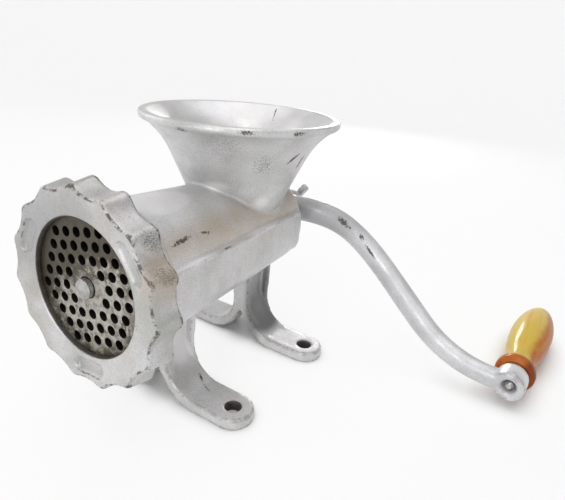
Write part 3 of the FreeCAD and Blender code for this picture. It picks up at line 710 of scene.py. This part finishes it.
@dataclass(frozen=True)
class Varnish:
    """Wood under a thick gloss varnish: grain along the grip, and painted shade in deep amber
    towards one flank.
    """

    name: str
    tones: WoodTones
    middle: Triple
    radius: float
    splay: float = 0.049
    droop: float = 0.5
    amber_radii: Span = (-0.40, 0.50)
    amber: Ramp = Ramp(0.10, 0.90)
    clouds: Noise = Noise(12.0)
    cloud_share: float = 0.8
    stretch: Triple = (1.0, 0.07, 1.0)
    figure: Mottle = Mottle(Noise(4.0, 4.0, 0.6), Ramp(0.50, 0.70, 0.0, 0.45))
    pores: Relief = Relief(Noise(0.8, 2.0, 0.5), 0.015)
    roughness: float = 0.45
    specular: float = 0.05
    coat: float = 0.40
    coat_roughness: float = 0.15

    def material(self) -> bpy.types.Material:
        """Build the finish.

        Returns:
            The material.
        """
        graph = Graph(self.name)
        along = graph.stretched(self.stretch)
        clouds = graph.times(graph.minus(graph.noise(self.clouds), NOISE_MEAN), self.cloud_share)
        share = graph.spread(graph.plus(self.shaded_side(graph), clouds), self.amber)
        # painted light and shade: pale towards -X and up, deep amber towards +X and low down
        tone = graph.blend(share, self.tones.pale, self.tones.deep)
        figure = graph.spread(graph.noise(self.figure.noise, along), self.figure.ramp)
        tone = graph.blend(figure, tone, self.tones.line)
        pores = graph.bump(graph.noise(self.pores.noise, along), self.pores.depth)
        return graph.finish(Base_Color=tone, Roughness=self.roughness,
                            Specular_IOR_Level=self.specular, Coat_Weight=self.coat,
                            Coat_Roughness=self.coat_roughness, Normal=pores)

    def shaded_side(self, graph: Graph) -> Socket:
        """How far a point lies towards the painted shade in deep amber, out along X and low down.

        Args:
            graph: the material's nodes.

        Returns:
            The share of painted-shade amber, from 0 to 1.
        """
        x, y, z = self.middle
        lean = graph.times(graph.minus(graph.along(Axis.Y), y), self.splay)
        out = graph.minus(graph.minus(graph.along(Axis.X), x), lean)
        down = graph.times(graph.minus(z, graph.along(Axis.Z)), self.droop)
        low, high = (radii * self.radius for radii in self.amber_radii)
        return graph.spread(graph.plus(out, down), Ramp(low, high))


class Finishes:
    """Finishes that several sub-assemblies share, and the way a piece takes one."""

    STEEL = TurnedMetal("turned_steel", (0.54, 0.53, 0.52), (0.36, 0.35, 0.34))
    BRONZE = TurnedMetal("plain_bronze", (0.60, 0.44, 0.22), (0.40, 0.28, 0.13),
                         Ramp(0.3, 0.7, 0.28, 0.48))

    def __init__(self) -> None:
        """Make the shared finishes."""
        self.steel = self.STEEL.material()
        self.bronze = self.BRONZE.material()

    @staticmethod
    def dress(piece: bpy.types.Object, finish: bpy.types.Material) -> None:
        """Give a piece one finish all over.

        Args:
            piece: the piece.
            finish: its material.
        """
        piece.data.materials.clear()
        piece.data.materials.append(finish)
        piece.data.polygons.foreach_set("material_index", [0] * len(piece.data.polygons))
        LOG.info("%s: %s, %d faces", piece.name, finish.name, len(piece.data.polygons))


@dataclass
class RoundedCasting:
    """A casting whose corners and junctions are softened as a foundry leaves them."""

    node: str
    body: Body
    voxel_mm: float
    passes: int
    slot: Slot = Slot.TIN
    weld: float = 2e-6
    draw: float = 0.60
    swell: float = -0.30
    near_rounds: int = 6
    far_rounds: int = 70
    proud_voxels: float = 0.45
    hollow_from_mm: float = 0.35
    hollow_span_mm: float = 1.8
    rays: int = 18
    every: int = 9
    shelter_mm: float = 70.0
    lift_voxels: float = 0.5
    closed_from: float = 0.34
    closed_span: float = 0.36
    closed_rounds: int = 14

    def build(self, frame: Frame, finish: bpy.types.Material) -> bpy.types.Object:
        """Make the softened piece in place of its plain solid.

        Args:
            frame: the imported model.
            finish: the piece's material.

        Returns:
            The finished piece.
        """
        piece = bpy.data.objects.new(self.node + "_cast", self.welded(frame["nodes"][self.node]))
        bpy.context.scene.collection.objects.link(piece)
        self.remesh(piece)
        self.soften(piece.data)
        self.mark_edges(piece.data)
        piece.data.polygons.foreach_set("use_smooth", [True] * len(piece.data.polygons))
        Finishes.dress(piece, finish)
        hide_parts(self.node)
        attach(piece, self.body.value)
        return piece

    def welded(self, node: bpy.types.Object) -> bpy.types.Mesh:
        """Copy a node's mesh with its split corners joined.

        Args:
            node: the node.

        Returns:
            The closed mesh.
        """
        mesh = bpy.data.meshes.new(node.name + "_cast")
        work = bmesh.new()
        work.from_mesh(node.data)
        bmesh.ops.remove_doubles(work, verts=work.verts, dist=self.weld)
        work.to_mesh(mesh)
        work.free()
        return mesh

    def remesh(self, piece: bpy.types.Object) -> None:
        """Divide a piece's surface into small even faces.

        Args:
            piece: the piece, whose mesh is exchanged.
        """
        modifier = piece.modifiers.new("even", "REMESH")
        modifier.mode = "VOXEL"
        modifier.voxel_size = self.voxel_mm * MM
        modifier.adaptivity = 0.0
        graph = bpy.context.evaluated_depsgraph_get()
        mesh = bpy.data.meshes.new_from_object(piece.evaluated_get(graph))
        piece.modifiers.clear()
        piece.data = mesh

    def soften(self, mesh: bpy.types.Mesh) -> None:
        """Draw each vertex to its neighbours and let it swell back, so that only corners change.

        Args:
            mesh: the mesh to soften.
        """
        places = self.places(mesh)
        for weight in (self.draw, self.swell) * self.passes:
            places += weight * (self.around(mesh, places) - places)
        mesh.vertices.foreach_set("co", places.ravel())
        mesh.update()

    @staticmethod
    def places(mesh: bpy.types.Mesh) -> np.ndarray:
        """The places of a mesh's vertices.

        Args:
            mesh: the mesh.

        Returns:
            One row for each vertex.
        """
        values = np.empty(len(mesh.vertices) * 3)
        mesh.vertices.foreach_get("co", values)
        return values.reshape(-1, 3)

    @staticmethod
    def around(mesh: bpy.types.Mesh, values: np.ndarray) -> np.ndarray:
        """The mean of each vertex's neighbours.

        Args:
            mesh: the mesh whose edges join neighbours.
            values: one row for each vertex.

        Returns:
            The means, one row for each vertex.
        """
        many = len(values)
        ends = np.empty(len(mesh.edges) * 2, dtype=np.int64)
        mesh.edges.foreach_get("vertices", ends)
        first, second = ends.reshape(-1, 2).T
        total = np.zeros_like(values)
        count = np.zeros(many)
        for one, other in ((first, second), (second, first)):
            count += np.bincount(one, minlength=many)
            for column in range(values.shape[1]):
                total[:, column] += np.bincount(one, values[other, column], many)
        return total / np.maximum(count, 1)[:, None]

    def smoothed(self, mesh: bpy.types.Mesh, values: np.ndarray, rounds: int) -> np.ndarray:
        """Average values over a neighbourhood that widens with each round.

        Args:
            mesh: the mesh whose edges join neighbours.
            values: one row for each vertex.
            rounds: how many times the mean is taken.

        Returns:
            The averaged values.
        """
        for _ in range(rounds):
            values = self.around(mesh, values)
        return values

    def mark_edges(self, mesh: bpy.types.Mesh) -> None:
        """Keep how proud a corner each vertex is on, for grimy corners, and how sheltered it is,
        for painted shade.

        Args:
            mesh: the casting.
        """
        places = self.places(mesh)
        normals = np.empty(len(places) * 3, dtype=np.float32)
        mesh.vertex_normals.foreach_get("vector", normals)
        normals = normals.reshape(-1, 3)
        near = self.smoothed(mesh, places, self.near_rounds)
        far = self.smoothed(mesh, near, self.far_rounds)
        proud = ((places - near) * normals).sum(axis=1)
        proud = proud / (self.proud_voxels * self.voxel_mm * MM)
        sunk = ((far - places) * normals).sum(axis=1) / MM
        hollow = self.share(sunk, self.hollow_from_mm, self.hollow_span_mm)
        sheltered = self.sheltered(mesh, places, normals)
        closed = self.share(sheltered, self.closed_from, self.closed_span)
        self.keep(mesh, Mark.EDGE, np.clip(proud, 0.0, 1.0))
        # the hollow mark sets where shade is painted into the colour
        self.keep(mesh, Mark.HOLLOW, np.maximum(hollow, closed))

    def sheltered(self, mesh: bpy.types.Mesh, places: np.ndarray,
                  normals: np.ndarray) -> np.ndarray:
        """How much of the view from each vertex the casting itself closes off nearby.

        Args:
            mesh: the casting.
            places: its vertices.
            normals: their normals.

        Returns:
            The closed share, from 0 to 1, for each vertex.
        """
        faces = [tuple(face.vertices) for face in mesh.polygons]
        tree = BVHTree.FromPolygons([tuple(row) for row in places], faces)
        ways = self.ways()
        closed = np.zeros((len(places), 1))
        tried = np.zeros((len(places), 1))
        for index in range(0, len(places), self.every):
            normal = Vector(normals[index])
            basis = normal.to_track_quat("Z", "Y").to_matrix()
            start = Vector(places[index]) + normal * (self.lift_voxels * self.voxel_mm * MM)
            for way in ways:
                hit = tree.ray_cast(start, basis @ way, self.shelter_mm * MM)[0]
                closed[index] += hit is not None
            tried[index] = self.rays
        closed = self.smoothed(mesh, closed, self.closed_rounds)
        tried = self.smoothed(mesh, tried, self.closed_rounds)
        return (closed / np.maximum(tried, 1e-9))[:, 0]

    def ways(self) -> list[Vector]:
        """Spread rays over a half sphere, as evenly as light falls on a surface.

        Returns:
            Their directions, about Z.
        """
        ways = []
        for step in range(self.rays):
            flat, turn = math.sqrt((step + 0.5) / self.rays), GOLDEN_TURN * step
            rise = math.sqrt(1 - flat * flat)
            ways.append(Vector((flat * math.cos(turn), flat * math.sin(turn), rise)))
        return ways

    @staticmethod
    def share(values: np.ndarray, start: float, span: float) -> np.ndarray:
        """How far along a span each value lies, from 0 to 1."""
        return np.clip((values - start) / span, 0.0, 1.0)

    @staticmethod
    def keep(mesh: bpy.types.Mesh, mark: Mark, values: np.ndarray) -> None:
        """Store a number at each vertex."""
        mesh.attributes.new(mark.value, "FLOAT", "POINT").data.foreach_set("value", values)


@dataclass
class MainBody:
    """The main casting: barrel, hopper and legs."""

    node: str = "body_casting"
    voxel_mm: float = 1.0
    passes: int = 7
    tin: CastTin = CastTin("body_tin", shelter=0.15)
    # painted reflection: a tan band along the barrel
    stain_and_reflection: Patch = Patch((36.0, 10.0, 121.5), (25.0, 150.0, 15.5), 0.60)
    hopper: Patch = Patch((0.0, 19.7, 142.0), (41.0, 41.0, 46.0), 0.10)
    # painted light on the hopper's upward inner faces
    inside: Patch = Patch((0.0, 19.7, 172.0), (72.0, 72.0, 36.0), 0.20, 0.42)
    rim: Patch = Patch((0.0, 19.7, 176.0), (110.0, 110.0, 9.0), 0.30, 0.50)
    # painted shade on the rear leg's web
    dull_and_shade: tuple[Patch, ...] = (Patch((12.0, 46.0, 30.0), (14.0, 24.0, 60.0), 0.42, 0.88),)
    # painted highlights on the panel's ledge, the hopper's foot, the barrel's top by the ring and
    # the front leg
    rubbed_and_highlights: tuple[Patch, ...] = (
        Patch((41.2, -66.0, 110.6), (5.0, 27.0, 2.6), 0.75, 0.95),
        Patch((37.0, 5.0, 110.4), (5.0, 32.0, 2.6), 0.75, 0.95),
        Patch((11.0, -19.5, 137.0), (14.0, 7.0, 5.0), 0.75, 0.80),
        Patch((31.0, 3.0, 126.0), (6.0, 9.0, 7.0), 0.75, 0.60),
        Patch((8.0, -66.0, 136.0), (17.0, 27.0, 6.0), 0.30, 0.45),
        Patch((7.0, -40.0, 40.0), (17.0, 17.0, 33.0), 0.60, 0.75),
    )
    scuffs: tuple[Scuff, ...] = (
        Scuff((-9.8, 78.0, 177.8), (-5.8, 65.5, 164.9), 1.3, 1.2, 0.30),
        Scuff((51.2, 12.1, 161.2), (44.9, 5.7, 152.8), 2.0, 1.2, 0.28),
        Scuff((51.0, 20.6, 160.4), (43.4, 19.6, 146.1), 1.8, 1.2, 0.28),
        Scuff((3.0, -46.0, 174.5), (9.0, -45.8, 174.0), 3.4),
        Scuff((37.0, -36.0, 176.0), (46.5, -30.5, 176.0), 2.0),
        Scuff((58.5, -12.5, 176.0), (62.5, -5.0, 176.0), 2.2),
        Scuff((33.5, -84.0, 121.4), (31.3, -62.0, 122.3), 2.2, 1.4, 0.26),
        Scuff((31.2, -58.0, 122.1), (32.4, -48.0, 119.6), 1.6, 1.2, 0.22),
        Scuff((39.2, -47.0, 110.4), (38.6, -36.0, 110.2), 0.9, 1.0, 0.30),
        Scuff((16.8, -36.8, 12.1), (22.9, -39.7, 8.7), 1.6, 1.2, 0.30),
        Scuff((23.5, -40.0, 8.5), (32.0, -43.5, 7.5), 1.3, 1.2, 0.26),
        Scuff((24.5, -32.3, 166.4), (24.5, -32.0, 166.0), 16.0, 0.8, 0.08, 0.45),
        Scuff((38.7, -9.1, 154.1), (38.7, -9.0, 154.0), 11.0, 0.8, 0.12, 0.50),
    )
    # painted shade inside the feet's bolt holes: its reach, depth and softness
    hole_width: float = 1.16
    hole_depth: float = 8.0
    hole_soft: float = 0.05

    def build(self, frame: Frame) -> None:
        """Make the softened casting and dress it.

        Args:
            frame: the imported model.
        """
        tin = replace(self.tin, stain_and_reflection=self.stain_and_reflection, clean=self.hopper,
                      shaded_recesses=self.holes(frame), dull_and_shade=self.dull_and_shade, rubbed_and_highlights=self.rubbed_and_highlights,
                      inside=self.inside, spared=self.rim, scuffs=self.scuffs)
        casting = RoundedCasting(self.node, Body.CASTING, self.voxel_mm, self.passes)
        casting.build(frame, tin.material())

    def holes(self, frame: Frame) -> tuple[Patch, ...]:
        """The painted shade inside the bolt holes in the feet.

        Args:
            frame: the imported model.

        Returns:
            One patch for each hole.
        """
        mounts = frame["record"]["mounts"]
        sizes = next(mount for mount in mounts if mount["kind"] == "bolt_pattern")["dims"]
        across, along = sizes["spacing_x_mm"] / 2, sizes["spacing_y_mm"] / 2
        wide = sizes["hole_r_mm"] * self.hole_width
        half = (wide, wide, self.hole_depth * wide)
        corners = ((x, y, 0.0) for x in (-across, across) for y in (-along, along))
        return tuple(Patch(corner, half, self.hole_soft) for corner in corners)


@dataclass
class RingNut:
    """The lobed ring that holds the plate."""

    node: str = "ring_nut"
    voxel_mm: float = 0.75
    passes: int = 6
    tin: CastTin = CastTin("ring_tin", pale=(0.67, 0.66, 0.665), cloud=(0.50, 0.50, 0.475),
                           warm=(0.50, 0.42, 0.345), warm_share=0.30, pits=0.68,
                           edge_grime=0.85)
    # painted shade on the mouth's inner face
    mouth_mm: float = 38.9
    mouth_soft: float = 0.012
    lip_mm: float = 42.0
    lip_soft: float = 0.02
    brown: Patch = Patch((49.0, -103.0, 119.0), (10.0, 18.0, 21.0), 0.60)
    # painted shade over the upper left of the ring's face
    shade_patch: Patch = Patch((-22.0, -112.0, 120.0), (52.0, 40.0, 52.0), 0.90, 0.46)
    speckles: tuple[Scuff, ...] = (
        Scuff((41.5, -106.0, 135.0), (43.5, -100.0, 131.5), 8.0, 0.7, 0.16, 0.60),
        Scuff((50.0, -107.0, 120.0), (52.5, -100.0, 116.0), 7.0, 0.7, 0.16, 0.60),
    )

    def build(self, frame: Frame) -> None:
        """Make the softened ring and dress it.

        Args:
            frame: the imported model.
        """
        low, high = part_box(self.node)
        middle = tuple((low + high) / 2 / MM)
        mouth = Patch(middle, (self.mouth_mm, ENDLESS_MM, self.mouth_mm), self.mouth_soft)
        lip = Patch(middle, (self.lip_mm, ENDLESS_MM, self.lip_mm), self.lip_soft)
        tin = replace(self.tin, stain_and_reflection=self.brown, dull_and_shade=(self.shade_patch,), shaded_recesses=(mouth,),
                      spared=lip, scuffs=self.speckles)
        casting = RoundedCasting(self.node, Body.RING, self.voxel_mm, self.passes)
        casting.build(frame, tin.material())


@dataclass
class CuttingSet:
    """The drilled plate, its key pin and the cross knife behind it."""

    plate: str = "cutting_plate"
    knife: str = "cross_knife"
    pin: str = "plate_key_pin"

    def dress(self, frame: Frame, finishes: Finishes) -> None:
        """Give the plate and the knife worn steel, and the pin plain steel.

        Args:
            frame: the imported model.
            finishes: the shared finishes.
        """
        low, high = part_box(self.plate)
        worn = PlateSteel(tuple((low + high) / 2), (high.x - low.x) / 2).material()
        for node in (self.plate, self.knife):
            finishes.dress(frame["nodes"][node], worn)
        finishes.dress(frame["nodes"][self.pin], finishes.steel)


@dataclass
class FeedScrew:
    """The worm on its shaft, with its stud, pin, washers and bush."""

    worm: str = "feed_worm"
    bush: str = "rear_bush"
    steel: tuple[str, ...] = ("worm_stud", "worm_pin", "drive_shaft", "thrust_washer",
                              "hub_washer")
    tin: CastTin = CastTin("worm_tin")

    def dress(self, frame: Frame, finishes: Finishes) -> None:
        """Give the worm tin, the bush bronze and the rest plain steel.

        Args:
            frame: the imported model.
            finishes: the shared finishes.
        """
        finishes.dress(frame["nodes"][self.worm], self.tin.material())
        finishes.dress(frame["nodes"][self.bush], finishes.bronze)
        for node in self.steel:
            finishes.dress(frame["nodes"][node], finishes.steel)


@dataclass
class Crank:
    """The curved arm with its thumb screw and washer."""

    arm: str = "crank_arm"
    screw: str = "thumb_screw"
    washer: str = "crank_washer"
    arm_voxel_mm: float = 0.85
    arm_passes: int = 18
    screw_voxel_mm: float = 0.6
    screw_passes: int = 8
    tin: CastTin = CastTin("arm_tin", pale=(0.72, 0.71, 0.73), cloud=(0.59, 0.595, 0.605),
                           metallic=0.30, warm_share=0.0, pits=0.74, shelter=0.35)
    scuffs: tuple[Scuff, ...] = (
        Scuff((51.2, 79.3, 102.9), (62.2, 83.4, 94.7), 3.4, 1.6, 0.25),
        Scuff((69.0, 85.7, 91.5), (72.0, 86.0, 88.0), 2.6, 1.6, 0.25),
        Scuff((73.0, 86.0, 85.5), (84.4, 86.3, 74.1), 1.8, 1.2, 0.26),
    )
    # painted shade on the arm near its hub
    shade_patch: Patch = Patch((42.0, 78.0, 107.0), (30.0, 34.0, 30.0), 0.80, 0.34)
    # painted shade in the counterbore at the grip's end
    bore: Patch = Patch((194.2, 77.0, 18.3), (6.2, 5.0, 6.2), 0.40, 0.65)
    boss: str = "boss_washer"
    # a painted highlight on the arm's end around the boss washer
    boss_half_mm: float = 20.0
    boss_soft: float = 0.40
    boss_highlight: float = 0.70

    def build(self, frame: Frame, finishes: Finishes) -> None:
        """Make the softened arm and screw, and dress the crank.

        Args:
            frame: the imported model.
            finishes: the shared finishes.
        """
        low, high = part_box(self.boss)
        boss = Patch(tuple((low + high) / 2 / MM), (self.boss_half_mm,) * 3,
                     self.boss_soft, self.boss_highlight)
        tin = replace(self.tin, dull_and_shade=(self.shade_patch,), rubbed_and_highlights=(boss,), shaded_recesses=(self.bore,),
                      scuffs=self.scuffs)
        finish = tin.material()
        arm = RoundedCasting(self.arm, Body.DRIVE, self.arm_voxel_mm, self.arm_passes)
        arm.build(frame, finish)
        screw = RoundedCasting(self.screw, Body.DRIVE, self.screw_voxel_mm, self.screw_passes)
        screw.build(frame, finish)
        finishes.dress(frame["nodes"][self.washer], finishes.steel)


@dataclass
class Grip:
    """The turned grip and its collar on their spindle."""

    wood: str = "wooden_grip"
    # the pale tones are painted light and the deep amber tones painted shade
    wood_tones: WoodTones = WoodTones((0.70, 0.49, 0.095), (0.47, 0.125, 0.002),
                                      (0.57, 0.29, 0.026))
    collar: str = "grip_collar"
    collar_tones: WoodTones = WoodTones((0.47, 0.125, 0.016), (0.22, 0.045, 0.006),
                                        (0.32, 0.075, 0.010))
    steel: tuple[str, ...] = ("grip_spindle", "boss_washer")

    def dress(self, frame: Frame, finishes: Finishes) -> None:
        """Give the wood and the collar their varnish, and the spindle plain steel.

        Args:
            frame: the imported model.
            finishes: the shared finishes.
        """
        self.varnish(frame, self.wood, self.wood_tones)
        self.varnish(frame, self.collar, self.collar_tones)
        for node in self.steel:
            finishes.dress(frame["nodes"][node], finishes.steel)

    @staticmethod
    def varnish(frame: Frame, node: str, tones: WoodTones) -> None:
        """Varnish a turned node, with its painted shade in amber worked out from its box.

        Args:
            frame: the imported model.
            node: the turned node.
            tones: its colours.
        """
        low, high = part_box(node)
        middle = tuple((low + high) / 2)
        finish = Varnish(node + "_varnish", tones, middle, (high.z - low.z) / 2).material()
        Finishes.dress(frame["nodes"][node], finish)


@dataclass
class Camera:
    """The photograph's viewpoint, in metres, degrees and, for the lens, millimetres."""

    place: Triple = (0.2001, -0.2571, 0.2219)
    azimuth: float = 30.734
    elevation: float = 19.964
    roll: float = 4.946
    lens: float = 32.03
    sensor: float = 36.0
    shift: Span = (0.0068, -0.0378)
    nearest: float = 0.01

    def build(self) -> bpy.types.Object:
        """Set up the camera and make it the scene's.

        Returns:
            The camera.
        """
        data = bpy.data.cameras.new("camera")
        data.sensor_width = self.sensor
        data.lens = self.lens
        data.shift_x, data.shift_y = self.shift
        data.clip_start = self.nearest
        camera = bpy.data.objects.new("camera", data)
        turn, lift = math.radians(self.azimuth), math.radians(self.elevation)
        flat = math.cos(lift)
        back = Vector((math.sin(turn) * flat, -math.cos(turn) * flat, math.sin(lift)))
        level = Matrix.Rotation(-math.radians(self.roll), 3, -back)
        right = level @ Vector((0, 0, 1)).cross(back).normalized()
        up = back.cross(right)
        aim = Matrix((right, up, back)).transposed()
        camera.matrix_world = Matrix.LocRotScale(Vector(self.place), aim, None)
        bpy.context.scene.collection.objects.link(camera)
        bpy.context.scene.camera = camera
        return camera


@dataclass(frozen=True)
class Lamp:
    """A soft rectangular lamp, in metres and watts."""

    name: str
    place: Triple
    target: Triple
    size: Span
    power: float

    def build(self) -> None:
        """Hang the lamp and turn it to its target."""
        data = bpy.data.lights.new(self.name, "AREA")
        data.shape = "RECTANGLE"
        data.size, data.size_y = self.size
        data.energy = self.power
        lamp = bpy.data.objects.new(self.name, data)
        lamp.location = self.place
        way = Vector(self.target) - Vector(self.place)
        lamp.rotation_euler = way.to_track_quat("-Z", "Y").to_euler()
        lamp.visible_camera = False
        bpy.context.scene.collection.objects.link(lamp)


@dataclass
class Studio:
    """A round white sweep of paper, soft lamps and a dim room, in metres."""

    middle: float = 0.4
    floor: float = 1.5
    bend: float = 0.45
    bend_steps: int = 12
    height: float = 0.80
    sides: int = 96
    paper: Colour = (0.88, 0.88, 0.88)
    paper_roughness: float = 0.9
    glow: Ramp = Ramp(0.45, 0.95, 0.0, 0.84)
    contact: float = 0.022
    room: float = 0.34
    room_low: Colour = (0.50, 0.46, 0.42)
    room_high: Colour = WHITE
    room_levels: Span = (0.15, 0.80)
    lamps: tuple[Lamp, ...] = (
        Lamp("key", (0.30, -0.80, 1.25), (0.03, -0.02, 0.08), (0.9, 0.9), 6.0),
        Lamp("front", (0.15, -1.40, 0.38), (0.0, 0.0, 0.10), (0.6, 0.5), 4.8),
        Lamp("top", (0.0, 0.15, 1.40), (0.03, 0.0, 0.08), (1.2, 1.2), 6.3),
        Lamp("left", (-1.20, -0.25, 0.75), (0.0, 0.0, 0.10), (0.8, 0.8), 3.2),
        Lamp("window", (-0.42, 1.18, 0.42), (0.05, 0.0, 0.05), (0.34, 0.26), 3.6),
    )

    def build(self) -> None:
        """Set up the paper, the lamps and the room."""
        self.sweep()
        for lamp in self.lamps:
            lamp.build()
        self.walls()
        bpy.context.scene.view_settings.view_transform = "Standard"

    def profile(self) -> list[Span]:
        """The sweep's outline from its middle outwards.

        Returns:
            Pairs of a radius and a height.
        """
        points = [(self.middle, 0.0), (self.floor, 0.0)]
        for step in range(1, self.bend_steps + 1):
            angle = math.radians(90.0 * step / self.bend_steps)
            points.append((self.floor + self.bend * math.sin(angle),
                           self.bend * (1 - math.cos(angle))))
        points.append((self.floor + self.bend, self.height))
        return points

    def sweep(self) -> None:
        """A round floor that curves up into a low wall."""
        mesh = bpy.data.meshes.new("paper")
        work = bmesh.new()
        turns = [math.radians(360.0 * step / self.sides) for step in range(self.sides)]
        rings = [[work.verts.new((r * math.cos(a), r * math.sin(a), z)) for a in turns]
                 for r, z in self.profile()]
        work.faces.new(rings[0])
        for lower, upper in zip(rings, rings[1:]):
            for one in range(self.sides):
                other = (one + 1) % self.sides
                work.faces.new((lower[one], upper[one], upper[other], lower[other]))
        work.to_mesh(mesh)
        work.free()
        mesh.polygons.foreach_set("use_smooth", [True] * len(mesh.polygons))
        mesh.materials.append(self.paper_material())
        paper = bpy.data.objects.new("paper", mesh)
        bpy.context.scene.collection.objects.link(paper)

    def paper_material(self) -> bpy.types.Material:
        """Paper that shows as white, and stays dark where the object stands close over it.

        Returns:
            The material.
        """
        graph = Graph("paper")
        graph.finish(Base_Color=self.paper, Roughness=self.paper_roughness)
        light = graph.add("ShaderNodeEmission")
        graph.feed(light.inputs["Color"], WHITE)
        graph.feed(light.inputs["Strength"], 1.0)
        path = graph.add("ShaderNodeLightPath")
        seen = graph.most(path.outputs["Is Camera Ray"], path.outputs["Is Glossy Ray"])
        seen = graph.most(seen, path.outputs["Is Transmission Ray"])
        open_sky = graph.add("ShaderNodeAmbientOcclusion")
        graph.feed(open_sky.inputs["Distance"], self.contact)
        mix = graph.add("ShaderNodeMixShader")
        shown = graph.times(seen, graph.spread(open_sky.outputs["AO"], self.glow))
        for socket, value in zip(mix.inputs, (shown, graph.shader.outputs[0], light.outputs[0])):
            graph.feed(socket, value)
        graph.feed(graph.find("OUTPUT_MATERIAL").inputs["Surface"], mix.outputs[0])
        return graph.material

    def walls(self) -> None:
        """A room that is dim and warm at the sides and lighter overhead."""
        world = bpy.data.worlds.new("room")
        world.use_nodes = True
        bpy.context.scene.world = world
        tree = world.node_tree
        back = next(node for node in tree.nodes if node.type == "BACKGROUND")
        where = tree.nodes.new("ShaderNodeTexCoord")
        split = tree.nodes.new("ShaderNodeSeparateXYZ")
        ramp = tree.nodes.new("ShaderNodeValToRGB")
        tree.links.new(where.outputs["Generated"], split.inputs[0])
        tree.links.new(split.outputs["Z"], ramp.inputs[0])
        colours = (self.room_low, self.room_high)
        for stop, level, colour in zip(ramp.color_ramp.elements, self.room_levels, colours):
            stop.position = level
            stop.color = (*colour, 1.0)
        tree.links.new(ramp.outputs[0], back.inputs["Color"])
        back.inputs["Strength"].default_value = self.room


def main() -> None:
    """Dress the grinder, light it and set up the camera."""
    logging.basicConfig(level=logging.INFO, format="%(message)s")
    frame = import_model()
    finishes = Finishes()
    MainBody().build(frame)
    RingNut().build(frame)
    CuttingSet().dress(frame, finishes)
    FeedScrew().dress(frame, finishes)
    Crank().build(frame, finishes)
    Grip().dress(frame, finishes)
    Studio().build()
    Camera().build()


if __name__ == "__main__":
    main()
